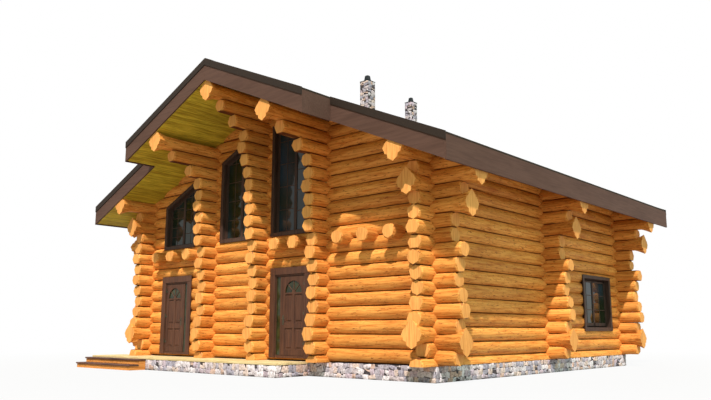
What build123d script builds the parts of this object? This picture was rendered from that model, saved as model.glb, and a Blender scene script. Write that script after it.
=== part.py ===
from build123d import *
import os

# Log chalet in millimetres, +Z up, front gable towards -Y.
# The origin is at ground level, under the middle of the roof's plan.

# Plinth and log courses. Logs along Y lie half a course below logs along X.
PLINTH_TOP = 370
PLINTH_OUT = 180
PLINTH_T = 480
LOG_R = 200
COURSE = 350
DATUM = PLINTH_TOP + 18
SEAM = 3

# Plan of the log walls, by centre line
CORNER_X = 5780
CROSS_X = 2390
FRONT_Y = -4870
BACK_Y = FRONT_Y + 10820
SIDE_CROSS_Y = FRONT_Y + 5510
INNER_STUB = 300

# Roof: the soffit falls from its peak, and the build-up stands upright on it
SLOPE = 0.4444
SOFFIT_PEAK = PLINTH_TOP + 7620
ROOF_BOARDS_T = 24
ROOF_COVER_T = 50
ROOF_BUILD = 613
EAVE_X = 7270
WING_X = 3870
CENTRE_FRONT_Y = FRONT_Y - 2510
WING_FRONT_Y = FRONT_Y - 1520
ROOF_BACK_Y = FRONT_Y + 12250
BOARD_T = 45
TRIM_T = 20
TRIM_H = 180
RIDGE_CAP_T = 20
RIDGE_CAP_W = 220

# Top course of each line of logs along Y; that log is the purlin
EAVE_COURSE = 14
MIDDLE_COURSE = 18
RIDGE_COURSE = 21
GABLE_COURSES = 21

# How far log ends stand out from the wall's centre line, by course from the plinth
CORNER_ENDS_X = (710, 900, 770, 910, 860, 760, 810, 930, 680, 700, 1160, 960, 1420, 1200)
CORNER_ENDS_Y = (700, 450, 850, 750, 680, 610, 660, 740, 690, 770, 710, 670, 980, 730, 1470)
CROSS_ENDS_Y = (600, 700, 770, 680, 580, 650, 570, 630, 730, 650, 790, 830, 780, 870, 800,
                870, 1210, 1850, 2440)
RIDGE_ENDS_Y = (600, 680, 760, 700, 600, 640, 580, 620, 720, 660, 780, 820, 790, 850, 830,
                900, 1020, 1130, 1070, 1480, 1940, 2420)
BACK_REACH = 1390

# Flared butt ends, by course: the log grows into a four-pointed star at its tip
FLARES_X = (1, 10, 12)
FLARES_Y = (2, 12)
FLARE_LENGTH = 430
FLARE_HALF = 330
FLARE_WIDE = 290
FLARE_TAPER = 13.6

# Floors and the joists whose ends show on the front
FLOOR_T = 50
JOIST_COURSE = 9
JOIST_FLAT = 150
JOIST_END = 560
JOISTS_X = (-4980, -4160, -3310, 800, 1560, 3200, 4050, 4900)

# Door sets: a leaf and a side light between jambs
DOOR_SETS = (("left", -4160, 1), ("right", 1145, -1))
DOOR_CLEAR = 1160
DOOR_BOTTOM = PLINTH_TOP + 70
DOOR_SILL_T = 60
DOOR_TOP = PLINTH_TOP + 2335
DOOR_HEAD_T = 40
JAMB_T = 50
CASING_W = 200
CASING_T = 35
CASING_BACK = 10
LEAF_W = 905
LEAF_T = 60
LEAF_FRONT = -185
HINGE_GAP = 5
LATCH_GAP = 8
MULLION_W = 50
STOP_W = 18
STOP_T = 30
HINGE_R = 9
HINGE_OUT = 27
HINGE_LENGTH = 60
HINGE_HEIGHTS = (300, 1100, 1900)
HANDLE_Z = PLINTH_TOP + 1090

# Windows, by the outer edge of their casings
SILL_TALL = PLINTH_TOP + 3430
TALL_X = (330, 2000)
TALL_TOP = PLINTH_TOP + 6860
CORNER_WINDOW_X = (3280, 4940)
CORNER_WINDOW_TOP = PLINTH_TOP + 7070
SIDE_WINDOW_Y = (FRONT_Y + 7820, FRONT_Y + 9950)
SIDE_WINDOW_Z = (PLINTH_TOP + 790, PLINTH_TOP + 2550)
BACK_WINDOW_X = (3150, 5000)
WINDOW_CASING_W = 110
WINDOW_LINING_T = 45
WINDOW_LAP = 65
GLASS_T = 24
GLASS_Y = -40

# Terrace and its steps
TERRACE_X = (-7150, 1880)
TERRACE_OUT = 1350
TERRACE_BOARD_T = 60
STEP_X = (-7130, -3950)
TREAD_T = 45
TREADS = ((1353, 1620, PLINTH_TOP - 50), (1583, 1930, PLINTH_TOP - 205))
STRINGER_T = 45
RISER_T = 22

# Chimneys on the ridge: distance behind the front wall, side, top of stone, top of cap
CHIMNEYS = ((4460, 370, 9400, 9640), (6980, 320, 9250, 9455))
CAP_LIP = 11
CAP_EDGE = 16
CAP_TRAY = 62


def bar(x0, x1, y0, y1, z0, z1):
    """Box between two opposite corners."""
    middle = Pos((x0 + x1) / 2, (y0 + y1) / 2, (z0 + z1) / 2)
    return middle * Box(x1 - x0, y1 - y0, z1 - z0)


def prism_y(points, y0, y1):
    """Outline of (x, z) points drawn out from y0 to y1."""
    outline = Polyline([(x, y0, z) for x, z in points], close=True)
    return extrude(make_face(outline), amount=y1 - y0, dir=(0, 1, 0))


def prism_x(points, x0, x1):
    """Outline of (y, z) points drawn out from x0 to x1."""
    outline = Polyline([(x0, y, z) for y, z in points], close=True)
    return extrude(make_face(outline), amount=x1 - x0, dir=(1, 0, 0))


def soffit_z(x):
    return SOFFIT_PEAK - SLOPE * abs(x)


def below_roof(gap=2):
    """Everything under the soffit, used to trim log ends to the slope."""
    points = [(-EAVE_X, 0), (EAVE_X, 0), (EAVE_X, soffit_z(EAVE_X) - gap),
              (0, SOFFIT_PEAK - gap), (-EAVE_X, soffit_z(EAVE_X) - gap)]
    return prism_y(points, CENTRE_FRONT_Y - 500, ROOF_BACK_Y + 500)


UNDER_ROOF = below_roof()


def x_height(n):
    return DATUM + COURSE * (n + 0.5)


def y_height(n):
    return DATUM + COURSE * n


def section_plane(axis, along, line, z):
    """Plane across a log, with its own Y axis upright."""
    if axis == "x":
        return Plane(origin=(along, line, z), x_dir=(0, 1, 0), z_dir=(1, 0, 0))
    return Plane(origin=(line, along, z), x_dir=(-1, 0, 0), z_dir=(0, 1, 0))


def round_outline(radius):
    """A log's outline, hewn in twelve flats."""
    return RegularPolygon(radius, 12, major_radius=False, rotation=15)


def log_section(low, high, radius):
    """Hewn section, cut level where it lies on the logs above and below."""
    return round_outline(radius) & (Pos(0, (low + high) / 2) * Rectangle(3 * radius, high - low))


def plain_log(axis, line, z, start, end, radius=LOG_R, half=COURSE / 2 - SEAM / 2):
    """Log from start to end, never reaching below the plinth's top."""
    low = max(-half, PLINTH_TOP + 1 - z)
    section = section_plane(axis, start, line, z) * log_section(low, half, radius)
    return extrude(section, amount=end - start)


def flared_end(axis, line, z, tip, sign, grow=0):
    """Four-pointed butt end, shrinking into the log towards the wall."""
    wide = FLARE_WIDE + grow
    high = FLARE_HALF + grow
    outline = Polygon((wide, 0), (0, high), (-wide, 0), (0, -high), align=None)
    face = section_plane(axis, tip + sign * grow, line, z) * outline
    inward = (-sign, 0, 0) if axis == "x" else (0, -sign, 0)
    return extrude(face, amount=FLARE_LENGTH, dir=inward, taper=FLARE_TAPER)


def saddle(axis, line, along, z, radius=LOG_R):
    """Cutter for the notch over a crossing log; axis is the cutter's own."""
    half = LOG_R + 60
    section = section_plane(axis, along - half, line, z) * round_outline(radius + SEAM)
    return extrude(section, amount=2 * half)


def pieces(shape, smallest=4e6):
    """Loose solids of a shape, without slivers."""
    return [s for s in shape.solids() if s.volume > smallest]


def trim(blank, cutters):
    for cutter in cutters:
        blank = blank - cutter
    return blank


def lines_at(n):
    """Lines of logs along Y that cross a gable wall at a course: place and radius."""
    lines = []
    if n <= EAVE_COURSE:
        lines += [(-CORNER_X, LOG_R), (CORNER_X, LOG_R)]
    if n <= MIDDLE_COURSE:
        lines += [(-CROSS_X, LOG_R), (CROSS_X, LOG_R)]
    if n <= RIDGE_COURSE:
        lines.append((0, LOG_R))
    if n == JOIST_COURSE:
        lines += [(x, LOG_R) for x in JOISTS_X]
    return lines


def window_outline(x0, x1, z0, top, inset=0):
    """Corners of an opening whose head follows the roof; top is its height at the ridge."""
    left = x0 + inset
    right = x1 - inset
    fall = top - 1.09 * inset
    head = [(right, fall - SLOPE * abs(right)), (left, fall - SLOPE * abs(left))]
    return [(left, z0 + inset), (right, z0 + inset)] + head


def box_outline(a0, a1, z0, z1, inset=0):
    return [(a0 + inset, z0 + inset), (a1 - inset, z0 + inset),
            (a1 - inset, z1 - inset), (a0 + inset, z1 - inset)]


def tall_outlines(inset):
    """The pair of tall windows on either side of the ridge."""
    near, far = TALL_X
    return [window_outline(-far, -near, SILL_TALL, TALL_TOP, inset),
            window_outline(near, far, SILL_TALL, TALL_TOP, inset)]


def front_outlines(inset):
    near, far = CORNER_WINDOW_X
    corner = window_outline(-far, -near, SILL_TALL, CORNER_WINDOW_TOP, inset)
    return [corner] + tall_outlines(inset)


def back_outlines(inset):
    near, far = BACK_WINDOW_X
    z0, z1 = SIDE_WINDOW_Z
    return [box_outline(-far, -near, z0, z1, inset), box_outline(near, far, z0, z1, inset)]


def door_outline(centre):
    half = DOOR_CLEAR / 2 + JAMB_T
    return [(centre - half, DOOR_BOTTOM), (centre + half, DOOR_BOTTOM),
            (centre + half, DOOR_TOP + JAMB_T), (centre - half, DOOR_TOP + JAMB_T)]


def gable_openings(line, outlines):
    return [prism_y(points, line - 500, line + 500) for points in outlines]


def end_flares(line, n, reach, grow=0):
    """Flared ends at both ends of a log along X that reaches as far each way."""
    z = x_height(n)
    return [flared_end("x", line, z, reach, 1, grow),
            flared_end("x", line, z, -reach, -1, grow)]


def gable_wall(line, courses, openings):
    """Logs along X, one above the other, cut for crossings and openings."""
    solids = []
    for n in courses:
        z = x_height(n)
        has_end = n < len(CORNER_ENDS_X)
        reach = CORNER_X + CORNER_ENDS_X[n] if has_end else EAVE_X - 100
        cutters = [saddle("y", x, line, y_height(n), r) for x, r in lines_at(n)]
        cutters += openings
        for other in (n - 1, n + 1):
            if other in FLARES_X:
                cutters += end_flares(line, other, CORNER_X + CORNER_ENDS_X[other], SEAM)
        blank = plain_log("x", line, z, -reach, reach)
        if n in FLARES_X:
            blank = blank + end_flares(line, n, reach)
        blank = trim(blank, cutters)
        if z + 2 * COURSE > soffit_z(reach):
            blank = blank & UNDER_ROOF
        solids += pieces(blank)
    return solids


def y_flare(x, n, tip, sign, grow=0):
    return flared_end("y", x, y_height(n), tip, sign, grow)


def side_wall(x, openings):
    """Logs along Y from gable to gable, under the eave purlin."""
    solids = []
    for n in range(EAVE_COURSE):
        front = FRONT_Y - CORNER_ENDS_Y[n]
        back = BACK_Y + CORNER_ENDS_Y[n]
        blank = plain_log("y", x, y_height(n), front, back)
        if n in FLARES_Y:
            blank = blank + [y_flare(x, n, front, -1), y_flare(x, n, back, 1)]
        cutters = list(openings)
        for line in (FRONT_Y, SIDE_CROSS_Y, BACK_Y):
            cutters.append(saddle("x", line, x, x_height(n - 1)))
        for other in (n - 1, n + 1):
            if other in FLARES_Y:
                end = CORNER_ENDS_Y[other]
                cutters.append(y_flare(x, other, FRONT_Y - end, -1, SEAM))
                cutters.append(y_flare(x, other, BACK_Y + end, 1, SEAM))
        solids += pieces(trim(blank, cutters) & UNDER_ROOF)
    return solids


def cross_stack(x, ends, top, line, outward):
    """Short logs along Y through a gable wall, one above the other."""
    solids = []
    for n in range(top):
        reach = ends[n] if outward < 0 else min(ends[n], BACK_REACH - 120 * (top - n))
        reach = max(reach, 560)
        start, end = sorted((line + outward * reach, line - outward * INNER_STUB))
        blank = plain_log("y", x, y_height(n), start, end)
        blank = blank - saddle("x", line, x, x_height(n - 1))
        if outward < 0 and n == top - 1:
            blank = blank - y_flare(x, top, line - ends[top], -1, SEAM)
        solids += pieces(blank & UNDER_ROOF)
    return solids


def side_cross(x):
    """Short logs along X through a side wall."""
    outward = 1 if x > 0 else -1
    solids = []
    for n in range(len(CORNER_ENDS_X)):
        z = x_height(n)
        tip = x + outward * CORNER_ENDS_X[n]
        start, end = sorted((tip, x - outward * INNER_STUB))
        blank = plain_log("x", SIDE_CROSS_Y, z, start, end)
        if n in FLARES_X:
            blank = blank + flared_end("x", SIDE_CROSS_Y, z, tip, outward)
        cutters = [saddle("y", x, SIDE_CROSS_Y, y_height(n))]
        for other in (n - 1, n + 1):
            if other in FLARES_X:
                far = x + outward * CORNER_ENDS_X[other]
                cutters.append(flared_end("x", SIDE_CROSS_Y, x_height(other), far, outward, SEAM))
        solids += pieces(trim(blank, cutters) & UNDER_ROOF)
    return solids


def purlin(x, n, front_end):
    """Roof log from gable overhang to gable overhang, on the stacks of logs below it."""
    tip = FRONT_Y - front_end
    blank = plain_log("y", x, y_height(n), tip, BACK_Y + BACK_REACH - 100)
    blank = blank + y_flare(x, n, tip, -1)
    lines = [FRONT_Y, BACK_Y]
    if n == EAVE_COURSE:
        lines.append(SIDE_CROSS_Y)
    cutters = [saddle("x", line, x, x_height(n - 1)) for line in lines]
    return pieces(trim(blank, cutters) & UNDER_ROOF)


def joist(x):
    """Floor log through both gable walls, flatter between them for the boards."""
    z = y_height(JOIST_COURSE)
    inside = LOG_R - 40
    blank = plain_log("y", x, z, FRONT_Y, BACK_Y, LOG_R, JOIST_FLAT)
    blank = blank + [plain_log("y", x, z, FRONT_Y - JOIST_END, FRONT_Y + inside),
                     plain_log("y", x, z, BACK_Y - inside, BACK_Y + JOIST_END)]
    return trim(blank, [saddle("x", line, x, x_height(JOIST_COURSE - 1))
                        for line in (FRONT_Y, BACK_Y)])


def stub_clearance(z0, z1):
    """Room for the inner ends of the cross logs in a floor."""
    room = LOG_R + 2 * SEAM
    reach = INNER_STUB + 2 * SEAM
    cutters = []
    for x in (-CROSS_X, 0, CROSS_X):
        cutters.append(bar(x - room, x + room, FRONT_Y, FRONT_Y + reach, z0, z1))
        cutters.append(bar(x - room, x + room, BACK_Y - reach, BACK_Y, z0, z1))
    for side in (-1, 1):
        x0, x1 = sorted((side * CORNER_X, side * (CORNER_X - reach)))
        cutters.append(bar(x0, x1, SIDE_CROSS_Y - room, SIDE_CROSS_Y + room, z0, z1))
    return cutters


def floor_slab(x0, x1, z):
    """Boards on their bearers between the outer walls."""
    y0 = FRONT_Y + LOG_R + SEAM
    y1 = BACK_Y - LOG_R - SEAM
    slab = bar(x0, x1, y0, y1, z, z + FLOOR_T)
    return trim(slab, stub_clearance(z - 10, z + FLOOR_T + 10))


def plinth():
    """Four stone walls with open joints between them, under the log walls."""
    x1 = CORNER_X + PLINTH_OUT
    y0 = FRONT_Y - PLINTH_OUT
    y1 = BACK_Y + PLINTH_OUT
    inner = x1 - PLINTH_T
    return [bar(-x1, x1, y0, y0 + PLINTH_T, 0, PLINTH_TOP),
            bar(-x1, x1, y1 - PLINTH_T, y1, 0, PLINTH_TOP),
            bar(-x1, -inner, y0 + PLINTH_T + SEAM, y1 - PLINTH_T - SEAM, 0, PLINTH_TOP),
            bar(inner, x1, y0 + PLINTH_T + SEAM, y1 - PLINTH_T - SEAM, 0, PLINTH_TOP)]


def terrace_base():
    x0, x1 = TERRACE_X
    y0 = FRONT_Y - TERRACE_OUT + 20
    y1 = FRONT_Y - PLINTH_OUT - SEAM
    return bar(x0 + 20, x1 - 20, y0, y1, 0, PLINTH_TOP - TERRACE_BOARD_T - 1)


def terrace_boards():
    x0, x1 = TERRACE_X
    y1 = FRONT_Y - PLINTH_OUT - SEAM
    return bar(x0, x1, FRONT_Y - TERRACE_OUT, y1, PLINTH_TOP - TERRACE_BOARD_T, PLINTH_TOP - 2)


def step_treads():
    x0, x1 = STEP_X
    return [bar(x0, x1, FRONT_Y - far, FRONT_Y - near, top - TREAD_T, top)
            for near, far, top in TREADS]


def step_frame():
    """Three stepped stringers and the risers between them."""
    x0, x1 = STEP_X
    upper, lower = TREADS
    high = upper[2] - TREAD_T - 1
    low = lower[2] - TREAD_T - 1
    back = FRONT_Y - upper[0]
    middle = FRONT_Y - upper[1] + 40
    front = FRONT_Y - lower[1] + 40
    profile = [(front, 0), (back, 0), (back, high), (middle, high), (middle, low), (front, low)]
    places = (x0 + 20, (x0 + x1 - STRINGER_T) / 2, x1 - 20 - STRINGER_T)
    solids = [prism_x(profile, x, x + STRINGER_T) for x in places]
    for left, right in zip(places, places[1:]):
        a = left + STRINGER_T + 1
        b = right - 1
        solids.append(bar(a, b, middle, middle + RISER_T, lower[2] + 1, high))
        solids.append(bar(a, b, front, front + RISER_T, 0, low))
    return solids


def roof_band(side, low, high, x0, x1, y0, y1):
    """Sloping layer between two heights above the soffit, on one side of the ridge."""
    points = [(side * x0, soffit_z(x0) + low), (side * x1, soffit_z(x1) + low),
              (side * x1, soffit_z(x1) + high), (side * x0, soffit_z(x0) + high)]
    return prism_y(points, y0, y1)


def roof_layer(side, low, high, edge, ridge_gap=1):
    """Layer over the whole slope, set in from its edges, with the middle brought forward."""
    y1 = ROOF_BACK_Y - edge
    body = roof_band(side, low, high, ridge_gap, EAVE_X - edge, WING_FRONT_Y + edge, y1)
    middle = roof_band(side, low, high, ridge_gap, WING_X - edge,
                       CENTRE_FRONT_Y + edge, WING_FRONT_Y + edge + 10)
    return body + middle


BOARD_TOP = ROOF_BUILD - ROOF_COVER_T - 1
SLAB_EDGE = TRIM_T + BOARD_T + 2


def bargeboard(side, x0, x1, y, inward):
    """Board up the gable edge, set behind the trim."""
    near = y + inward * (TRIM_T + 1)
    far = near + inward * BOARD_T
    y0, y1 = sorted((near, far))
    return roof_band(side, 0, BOARD_TOP, x0, x1, y0, y1)


def gable_trim(side, x0, x1, y, inward):
    y0, y1 = sorted((y, y + inward * TRIM_T))
    return roof_band(side, ROOF_BUILD - TRIM_H, ROOF_BUILD + 12, x0, x1, y0, y1)


def level_board(side, x, y0, y1):
    """Upright board along Y whose outer face is at x."""
    z = soffit_z(x)
    x0, x1 = sorted((side * x, side * (x - BOARD_T)))
    return bar(x0, x1, y0, y1, z, z + BOARD_TOP - 2)


def front_bargeboards(side):
    middle = bargeboard(side, 1, WING_X - BOARD_T - 2, CENTRE_FRONT_Y, 1)
    wing = bargeboard(side, WING_X + 1, EAVE_X - BOARD_T - 2, WING_FRONT_Y, 1)
    edge = TRIM_T + 1
    side_return = level_board(side, WING_X, CENTRE_FRONT_Y + edge, WING_FRONT_Y + edge)
    return [middle, wing, side_return]


def eave_fascia(side):
    edge = TRIM_T + 1
    return level_board(side, EAVE_X - 1, WING_FRONT_Y + edge, ROOF_BACK_Y - edge)


def ridge_cap():
    """Bent strip over the ridge, from gable to gable."""
    low = ROOF_BUILD + 2
    w = RIDGE_CAP_W
    points = [(-w, soffit_z(w) + low), (0, SOFFIT_PEAK + low), (w, soffit_z(w) + low),
              (w, soffit_z(w) + low + RIDGE_CAP_T), (0, SOFFIT_PEAK + low + RIDGE_CAP_T),
              (-w, soffit_z(w) + low + RIDGE_CAP_T)]
    return prism_y(points, CENTRE_FRONT_Y + TRIM_T + 2, ROOF_BACK_Y - TRIM_T - 2)


def chimney_stack(behind, side, top):
    """Stone shaft seated over the ridge."""
    y = FRONT_Y + behind
    shaft = bar(-side / 2, side / 2, y - side / 2, y + side / 2,
                SOFFIT_PEAK, PLINTH_TOP + top)
    seat = ROOF_BUILD + RIDGE_CAP_T + 4
    points = [(-1000, SOFFIT_PEAK - 2000), (1000, SOFFIT_PEAK - 2000),
              (1000, soffit_z(1000) + seat), (0, SOFFIT_PEAK + seat),
              (-1000, soffit_z(1000) + seat)]
    return shaft - prism_y(points, y - 1000, y + 1000)


def chimney_cap(behind, side, base, top):
    """Shallow metal tray with a tapered pot, open through its middle."""
    y = FRONT_Y + behind
    base += PLINTH_TOP + 1
    top += PLINTH_TOP
    rim = side + 2 * CAP_LIP
    foot = 0.47 * side
    crown = 0.34 * side
    edge = Pos(0, y, base + CAP_EDGE / 2) * Box(rim, rim, CAP_EDGE)
    levels = [(rim, base + CAP_EDGE), (foot, base + CAP_TRAY), (crown, top)]
    squares = [Plane(origin=(0, y, z)) * Rectangle(width, width) for width, z in levels]
    body = edge + loft(squares[:2], ruled=True) + loft(squares[1:], ruled=True)
    flue = Pos(0, y, (base + top) / 2) * Box(0.2 * side, 0.2 * side, 2 * (top - base))
    return body - flue


def ring_y(outer, inner, y0, y1):
    return prism_y(outer, y0, y1) - prism_y(inner, y0 - 5, y1 + 5)


def window_frame(outline, line, outward):
    """Lining through the wall and a casing on its outer face; outline(inset) gives corners."""
    near = line + outward * (LOG_R - 1)
    y0, y1 = sorted((near, line - outward * LOG_R))
    lining = ring_y(outline(WINDOW_LAP + 2), outline(WINDOW_LAP + WINDOW_LINING_T), y0, y1)
    y0, y1 = sorted((line + outward * (LOG_R + 1), line + outward * (LOG_R + CASING_T)))
    casing = ring_y(outline(0), outline(WINDOW_CASING_W), y0, y1)
    bridge = sorted((near, line + outward * (LOG_R + 1)))
    joint = ring_y(outline(WINDOW_LAP + 2), outline(WINDOW_CASING_W), bridge[0], bridge[1])
    return lining + joint + casing


def glass_pane(outline, line, outward):
    centre = line - outward * GLASS_Y
    inner = outline(WINDOW_LAP + WINDOW_LINING_T + 2)
    return prism_y(inner, centre - GLASS_T / 2, centre + GLASS_T / 2)


def gable_windows(makers, line, outward):
    """Frames and panes of the windows in a gable wall."""
    frames = [window_frame(maker, line, outward) for maker in makers]
    panes = [glass_pane(maker, line, outward) for maker in makers]
    return frames, panes


def pick(outlines, index):
    """One window of a set, as a function of how far its outline is set in."""
    return lambda inset: outlines(inset)[index]


def side_outline(inset):
    y0, y1 = SIDE_WINDOW_Y
    z0, z1 = SIDE_WINDOW_Z
    return box_outline(y0, y1, z0, z1, inset)


def side_window(x, outward):
    """Window of a side wall, made on a gable and turned to face sideways."""
    frame = window_frame(side_outline, 0, -1)
    pane = glass_pane(side_outline, 0, -1)
    turn = Rot(0, 0, 90)
    if outward > 0:
        return [Pos(x, 0, 0) * turn * frame, Pos(x, 0, 0) * turn * pane]
    flip = [mirror(turn * s, about=Plane.YZ) for s in (frame, pane)]
    return [Pos(x, 0, 0) * s for s in flip]


def door_frame(centre, hand):
    """Jambs, head, sill, mullion, stops and casing of one door set."""
    half = DOOR_CLEAR / 2
    inner_top = DOOR_TOP - DOOR_HEAD_T
    floor = DOOR_BOTTOM + DOOR_SILL_T
    front = FRONT_Y - LOG_R
    back = FRONT_Y + LOG_R
    outer = [(x + (2 if x < centre else -2), z + (2 if z < DOOR_TOP else -2))
             for x, z in door_outline(centre)]
    inner = [(centre - half, floor), (centre + half, floor),
             (centre + half, inner_top), (centre - half, inner_top)]
    frame = ring_y(outer, inner, front, back)
    casing_half = half + CASING_BACK
    casing_top = DOOR_TOP
    far = casing_half + CASING_W
    casing = bar(centre - far, centre + far, front - CASING_T, front - 1,
                 DOOR_BOTTOM, casing_top + CASING_W)
    casing = casing - bar(centre - casing_half, centre + casing_half,
                          front - CASING_T - 5, front + 5, DOOR_BOTTOM - 5, casing_top)
    lap = ring_y([(centre - half - JAMB_T + 2, DOOR_BOTTOM + 2),
                  (centre + half + JAMB_T - 2, DOOR_BOTTOM + 2),
                  (centre + half + JAMB_T - 2, DOOR_TOP + JAMB_T - 2),
                  (centre - half - JAMB_T + 2, DOOR_TOP + JAMB_T - 2)],
                 [(centre - casing_half, DOOR_BOTTOM), (centre + casing_half, DOOR_BOTTOM),
                  (centre + casing_half, DOOR_TOP), (centre - casing_half, DOOR_TOP)],
                 front - 2, front + 1)
    hinge_x = centre - hand * half
    mullion_near = hinge_x + hand * (HINGE_GAP + LEAF_W + LATCH_GAP)
    mullion = upright(mullion_near, hand * MULLION_W, FRONT_Y + LEAF_FRONT,
                      FRONT_Y + LEAF_FRONT + LEAF_T + STOP_T + 6, floor - 1, inner_top + 1)
    stop_y = FRONT_Y + LEAF_FRONT + LEAF_T + 6
    stops = [upright(hinge_x - hand, hand * (STOP_W + 1), stop_y, stop_y + STOP_T,
                     floor - 1, inner_top + 1),
             upright(mullion_near + hand, -hand * (STOP_W + 1), stop_y, stop_y + STOP_T,
                     floor - 1, inner_top + 1)]
    knuckles = [frame_knuckle(hinge_x, hand, floor + h) for h in HINGE_HEIGHTS]
    return frame + lap + casing + mullion + stops + knuckles


def upright(x, width, y0, y1, z0, z1):
    """Box from x sideways by a signed width."""
    x0, x1 = sorted((x, x + width))
    return bar(x0, x1, y0, y1, z0, z1)


def hinge_axis(hinge_x, hand):
    return hinge_x + hand * HINGE_GAP / 2, FRONT_Y + LEAF_FRONT - HINGE_OUT


def frame_knuckle(hinge_x, hand, z):
    """Fixed half of a hinge, above the half on the leaf."""
    ax, ay = hinge_axis(hinge_x, hand)
    base = z + HINGE_LENGTH + 1.5
    barrel = Pos(ax, ay, base + HINGE_LENGTH / 2) * Cylinder(HINGE_R, HINGE_LENGTH)
    plate = upright(ax, -hand * 12, ay, FRONT_Y - LOG_R + 1, base, base + HINGE_LENGTH)
    return barrel + plate


def door_leaf(centre, hand):
    """Leaf with the moving halves of its three hinges."""
    half = DOOR_CLEAR / 2
    floor = DOOR_BOTTOM + DOOR_SILL_T
    hinge_x = centre - hand * half
    front = FRONT_Y + LEAF_FRONT
    leaf = upright(hinge_x + hand * HINGE_GAP, hand * LEAF_W, front, front + LEAF_T,
                   floor + 6, DOOR_TOP - DOOR_HEAD_T - 6)
    ax, ay = hinge_axis(hinge_x, hand)
    for h in HINGE_HEIGHTS:
        z = floor + h
        barrel = Pos(ax, ay, z + HINGE_LENGTH / 2) * Cylinder(HINGE_R, HINGE_LENGTH)
        arm = upright(ax, hand * 12, ay, front + 1, z, z + HINGE_LENGTH)
        strap = upright(ax, hand * 70, front - 6, front + 1, z, z + HINGE_LENGTH)
        leaf = leaf + barrel + arm + strap
    return leaf


def door_handle(centre, hand):
    """Backplate and lever on the latch side of the leaf."""
    front = FRONT_Y + LEAF_FRONT
    hinge_x = centre - hand * DOOR_CLEAR / 2
    x = hinge_x + hand * (HINGE_GAP + LEAF_W - 60)
    plate = bar(x - 22, x + 22, front - 9, front - 0.5, HANDLE_Z - 130, HANDLE_Z + 130)
    neck = Pos(x, front - 28, HANDLE_Z + 40) * Rot(90, 0, 0) * Cylinder(10, 40)
    lever = upright(x + hand * 10, -hand * 130, front - 58, front - 42,
                    HANDLE_Z + 30, HANDLE_Z + 50)
    return plate + neck + lever


def side_light(centre, hand):
    """Fixed pane beside the leaf."""
    half = DOOR_CLEAR / 2
    hinge_x = centre - hand * half
    near = HINGE_GAP + LEAF_W + LATCH_GAP + MULLION_W + 1
    width = DOOR_CLEAR - near - 1
    y = FRONT_Y + LEAF_FRONT + LEAF_T / 2
    return upright(hinge_x + hand * near, hand * width, y - GLASS_T / 2, y + GLASS_T / 2,
                   DOOR_BOTTOM + DOOR_SILL_T + 1, DOOR_TOP - DOOR_HEAD_T - 1)


def gable(line, courses, outlines):
    return gable_wall(line, courses, gable_openings(line, outlines))


def wall_nodes():
    rough = WINDOW_LAP
    doors = [door_outline(centre) for name, centre, hand in DOOR_SETS]
    split = JOIST_COURSE + 1
    side_cutter = prism_x(side_outline(rough), -9000, 9000)
    return {
        "front_wall_logs": gable(FRONT_Y, range(split), doors + front_outlines(rough)),
        "front_gable_logs": gable(FRONT_Y, range(split, GABLE_COURSES), front_outlines(rough)),
        "back_wall_logs": gable(BACK_Y, range(split),
                                back_outlines(rough) + tall_outlines(rough)),
        "back_gable_logs": gable(BACK_Y, range(split, GABLE_COURSES), tall_outlines(rough)),
        "left_wall_logs": side_wall(-CORNER_X, [side_cutter]),
        "right_wall_logs": side_wall(CORNER_X, [side_cutter]),
    }


def cross_nodes():
    nodes = {"front_cross_logs": [], "back_cross_logs": []}
    stacks = ((-CROSS_X, CROSS_ENDS_Y, MIDDLE_COURSE),
              (0, RIDGE_ENDS_Y, RIDGE_COURSE),
              (CROSS_X, CROSS_ENDS_Y, MIDDLE_COURSE))
    for x, ends, top in stacks:
        nodes["front_cross_logs"] += cross_stack(x, ends, top, FRONT_Y, -1)
        nodes["back_cross_logs"] += cross_stack(x, ends, top, BACK_Y, 1)
    nodes["side_cross_logs"] = side_cross(-CORNER_X) + side_cross(CORNER_X)
    return nodes


def frame_nodes():
    nodes = {
        "ridge_purlin": purlin(0, RIDGE_COURSE, RIDGE_ENDS_Y[-1]),
        "middle_purlins": [],
        "eave_purlins": [],
        "floor_joists": [joist(x) for x in JOISTS_X],
    }
    for side in (-1, 1):
        nodes["middle_purlins"] += purlin(side * CROSS_X, MIDDLE_COURSE, CROSS_ENDS_Y[-1])
        nodes["eave_purlins"] += purlin(side * CORNER_X, EAVE_COURSE, CORNER_ENDS_Y[-1])
    return nodes


def floor_nodes():
    inside = CORNER_X - LOG_R - SEAM
    upper = y_height(JOIST_COURSE) + JOIST_FLAT + 1
    return {
        "ground_floor": [floor_slab(-inside, inside, PLINTH_TOP + 5)],
        "upper_floor": [floor_slab(-inside, -CROSS_X - 230, upper),
                        floor_slab(230, inside, upper)],
    }


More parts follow.
